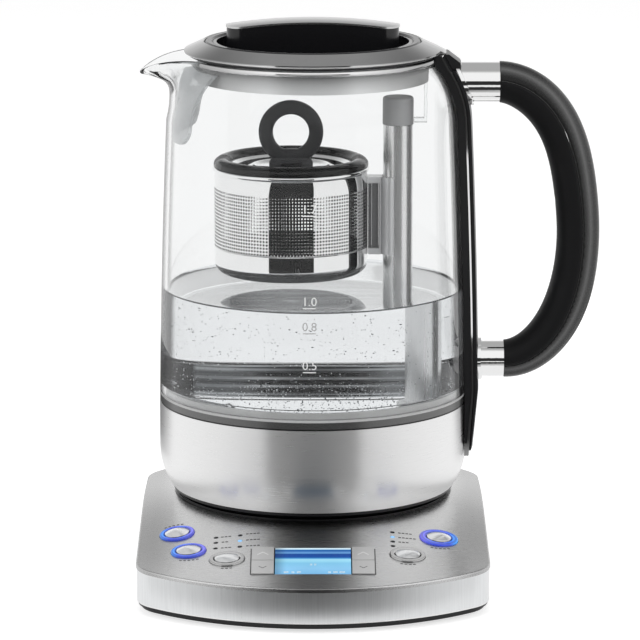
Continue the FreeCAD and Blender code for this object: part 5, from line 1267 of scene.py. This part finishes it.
def make_deck_marks():
    """Plain dashes beside the lamps and buttons, in place of words."""
    strips = []
    for x, y, count in WORD_DASHES:
        for index in range(count):
            left = x + index * DASH_STEP
            strips.append(deck_strip((left, y), (left + DASH, y)))
    for x, y, reach, middle, count in BUTTON_DASHES:
        turn = DASH_STEP * 1.15 / reach
        for index in range(count):
            angle = radians(middle) + (index - (count - 1) / 2) * turn
            half = DASH / reach / 2
            strips.append(deck_strip(round_at((x, y), reach, angle - half),
                                     round_at((x, y), reach, angle + half)))
    flat_mark("deck_dashes", strips, "print_dark", "base")


KEY_INNER = 18.3
KEY_OUTER = 28.7
KEYS_BACK = -93.3
KEYS_FRONT = -124.0
GROOVE_WIDTH = 0.55


def make_painted_gap_shade():
    """Painted shade in the gap round the outer sides of the keys, as dark strips on the deck."""
    strips = []
    for sign in (-1, 1):
        side = sign * (KEY_OUTER + 0.35)
        inner = sign * (KEY_INNER - 0.2)
        strips.append(deck_strip((side, KEYS_BACK), (side, KEYS_FRONT), GROOVE_WIDTH, GROOVE_LIFT))
        strips.append(deck_strip((side, KEYS_FRONT - 0.2), (inner, KEYS_FRONT - 0.4), 0.4,
                                 GROOVE_LIFT))
    flat_mark("painted_gap_shade", strips, "print_dark", "base")


def key_top(name):
    """A function from y to the height of a key's flat top, from the key's highest corners."""
    corners = [vertex.co / MM for vertex in nodes[name].data.vertices]
    front = min(corner.y for corner in corners)
    back = max(corner.y for corner in corners)
    front_top = max(corner.z for corner in corners if corner.y < front + 1.2)
    back_top = max(corner.z for corner in corners if corner.y > back - 1.2)
    return lambda y: front_top + (back_top - front_top) * (y - front) / (back - front)


# arrow heads: middle in y, how far they point back, half width, line, look
CHEVRON_UP = (-100.6, 1.5, 2.6, 0.55, "print_white")
CHEVRON_DOWN = (-116.6, -0.9, 1.82, 0.34, "print_dark")
KEY_MARKS = {"time_up_key": CHEVRON_UP, "temperature_up_key": CHEVRON_UP,
             "time_down_key": CHEVRON_DOWN, "temperature_down_key": CHEVRON_DOWN}


def make_key_marks():
    """An arrow head on each key, light on the upper ones and dark on the lower ones."""
    for name, (along, rise, size, line, look) in KEY_MARKS.items():
        low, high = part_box(name)
        middle = (low.x + high.x) / 2 / MM
        top = key_top(name)
        arms = []
        for sign in (-1, 1):
            corners = [(middle + x, along + y) for x, y in (
                (0.0, rise), (sign * size, -rise), (sign * size, -rise - 2 * line),
                (0.0, rise - 2 * line))]
            arms.append(([(x, y, top(y) + MARK_LIFT) for x, y in corners],
                         [QUAD if sign < 0 else QUAD[::-1]]))
        flat_mark(name + "_mark", arms, look, name)


DISPLAY_MARKS = (
    # short light marks on the display: middle x, y, width
    (-12.5, -121.4, 2.2), (-9.4, -121.6, 1.4), (-6.6, -121.4, 1.8), (7.6, -121.5, 1.4),
    (10.4, -121.3, 2.0), (13.6, -121.4, 2.6), (-0.9, -112.6, 1.1), (1.0, -112.6, 1.1),
)
DISPLAY_ROWS = (-0.55, 0.55)
DISPLAY_LINE = 0.28


def make_display_marks():
    """A few short light segments on the display, which stand for its figures."""
    top = key_top("display_window")
    quads = []
    for x, y, wide in DISPLAY_MARKS:
        for row in DISPLAY_ROWS:
            corners = [(x + dx * wide / 2, y + row + dy * DISPLAY_LINE)
                       for dx, dy in ((-1, -1), (1, -1), (1, 1), (-1, 1))]
            quads.append(([(*corner, top(corner[1]) + MARK_LIFT) for corner in corners], [QUAD]))
    flat_mark("display_marks", quads, "print_lit", "base")


LEVELS = (
    # number, height of its middle in millimetres, look
    ("1.7", 186.0, "print_white"), ("1.0", 142.2, "print_white"), ("0.8", 130.2, "print_grey"),
    ("0.5", 111.6, "print_white"),
)
DIGIT_HEIGHT = 4.1
DIGIT_SHARE = 0.70
LEVEL_LINE = 6.2
LEVEL_LINE_DROP = 1.5
LEVEL_LINE_WIDTH = 0.5
LEVEL_LINE_STEPS = 6
LEVEL_MIDDLE = -1.7


def make_levels():
    """The litre numbers printed on the front of the glass, each over a short line."""
    for number, height, look in LEVELS:
        curve = bpy.data.curves.new("digits", "FONT")
        curve.body = number
        curve.size = DIGIT_HEIGHT / DIGIT_SHARE
        curve.resolution_u = 3
        flat = mesh_from(curve)
        wide = max(vertex.co.x for vertex in flat.vertices)
        digits = ([(vertex.co.x - wide / 2, vertex.co.y - DIGIT_HEIGHT / 2)
                   for vertex in flat.vertices], [tuple(face.vertices) for face in flat.polygons])
        low = -DIGIT_HEIGHT / 2 - LEVEL_LINE_DROP
        rows = [[(LEVEL_LINE * (step / LEVEL_LINE_STEPS - 0.5), y)
                 for y in (low, low + LEVEL_LINE_WIDTH)] for step in range(LEVEL_LINE_STEPS + 1)]
        places, faces = joined([digits, grid(rows)])
        points = []
        for x, up in places:
            radius = side_radius(height + up) + MARK_LIFT
            angle = -pi / 2 + (x + LEVEL_MIDDLE) / radius
            points.append((*round_at(AXIS, radius, angle), height + up))
        name = "level_" + number.replace(".", "_")
        flat_mark(name, [(points, faces)], look, "jug")


# ---- edges

BEVELS = (
    # nodes, width, segments, least angle in degrees
    (NODE_LOOKS["key_silver"], 0.45, 3, 30), ("button_light_rings button_bezels", 0.75, 4, 50),
)
SEAM = 0.05


def round_edges():
    """Soften the edges of the keys and button rings, and close the handle's seam."""
    for names, width, segments, angle in BEVELS:
        for name in names.split():
            edge = nodes[name].modifiers.new("edge", "BEVEL")
            edge.width = width * MM
            edge.segments = segments
            edge.limit_method = "ANGLE"
            edge.angle_limit = radians(angle)
    for name in ("inner_grip", "outer_grip"):
        seam = nodes[name].modifiers.new("seam", "WELD")
        seam.merge_threshold = SEAM * MM


BAND_LINE = 0.28
BAND_MIDDLE_Y = -29.0
BAND_HALF_WAY = 12.0


def make_band_lines():
    """A fine polished line along the upper and lower edges of the base's steel band."""
    corners = [vertex.co / MM for vertex in nodes["base_band"].data.vertices]
    for name, way in (("band_line_upper", 1), ("band_line_lower", -1)):
        chosen = {}
        for corner in corners:
            along = corner.y - BAND_MIDDLE_Y
            turn = round(degrees(atan2(along, corner.x)) * 2)
            rank = corner.z * way + hypot(corner.x, along) * 10
            near = (corner.z - BAND_HALF_WAY) * way > 0
            if near and (turn not in chosen or rank > chosen[turn][0]):
                chosen[turn] = (rank, corner)
        curve = bpy.data.curves.new(name, "CURVE")
        curve.dimensions = "3D"
        curve.bevel_depth = BAND_LINE * MM
        curve.bevel_resolution = 3
        line = curve.splines.new("POLY")
        line.points.add(len(chosen) - 1)
        for point, turn in zip(line.points, sorted(chosen)):
            place = chosen[turn][1]
            outwards = Vector((place.x, place.y - BAND_MIDDLE_Y, 0.0)).normalized()
            point.co = (*((place - outwards * BAND_LINE * 0.6) * MM), 1.0)
        line.use_cyclic_u = True
        mesh = mesh_from(curve)
        mesh.materials.clear()
        mesh.materials.append(looks["chrome"])
        rides(added(name, mesh), "base")


# ---- build

bpy.context.scene.view_settings.view_transform = "Standard"
make_camera()
make_world()
make_lights()
make_floor()
make_cards()
make_materials()
dress_nodes()
make_glass()
make_water()
make_bubbles()
make_basket()
make_basket_lid()
make_deck_marks()
make_key_marks()
make_painted_gap_shade()
make_display_marks()
make_levels()
round_edges()
make_band_lines()
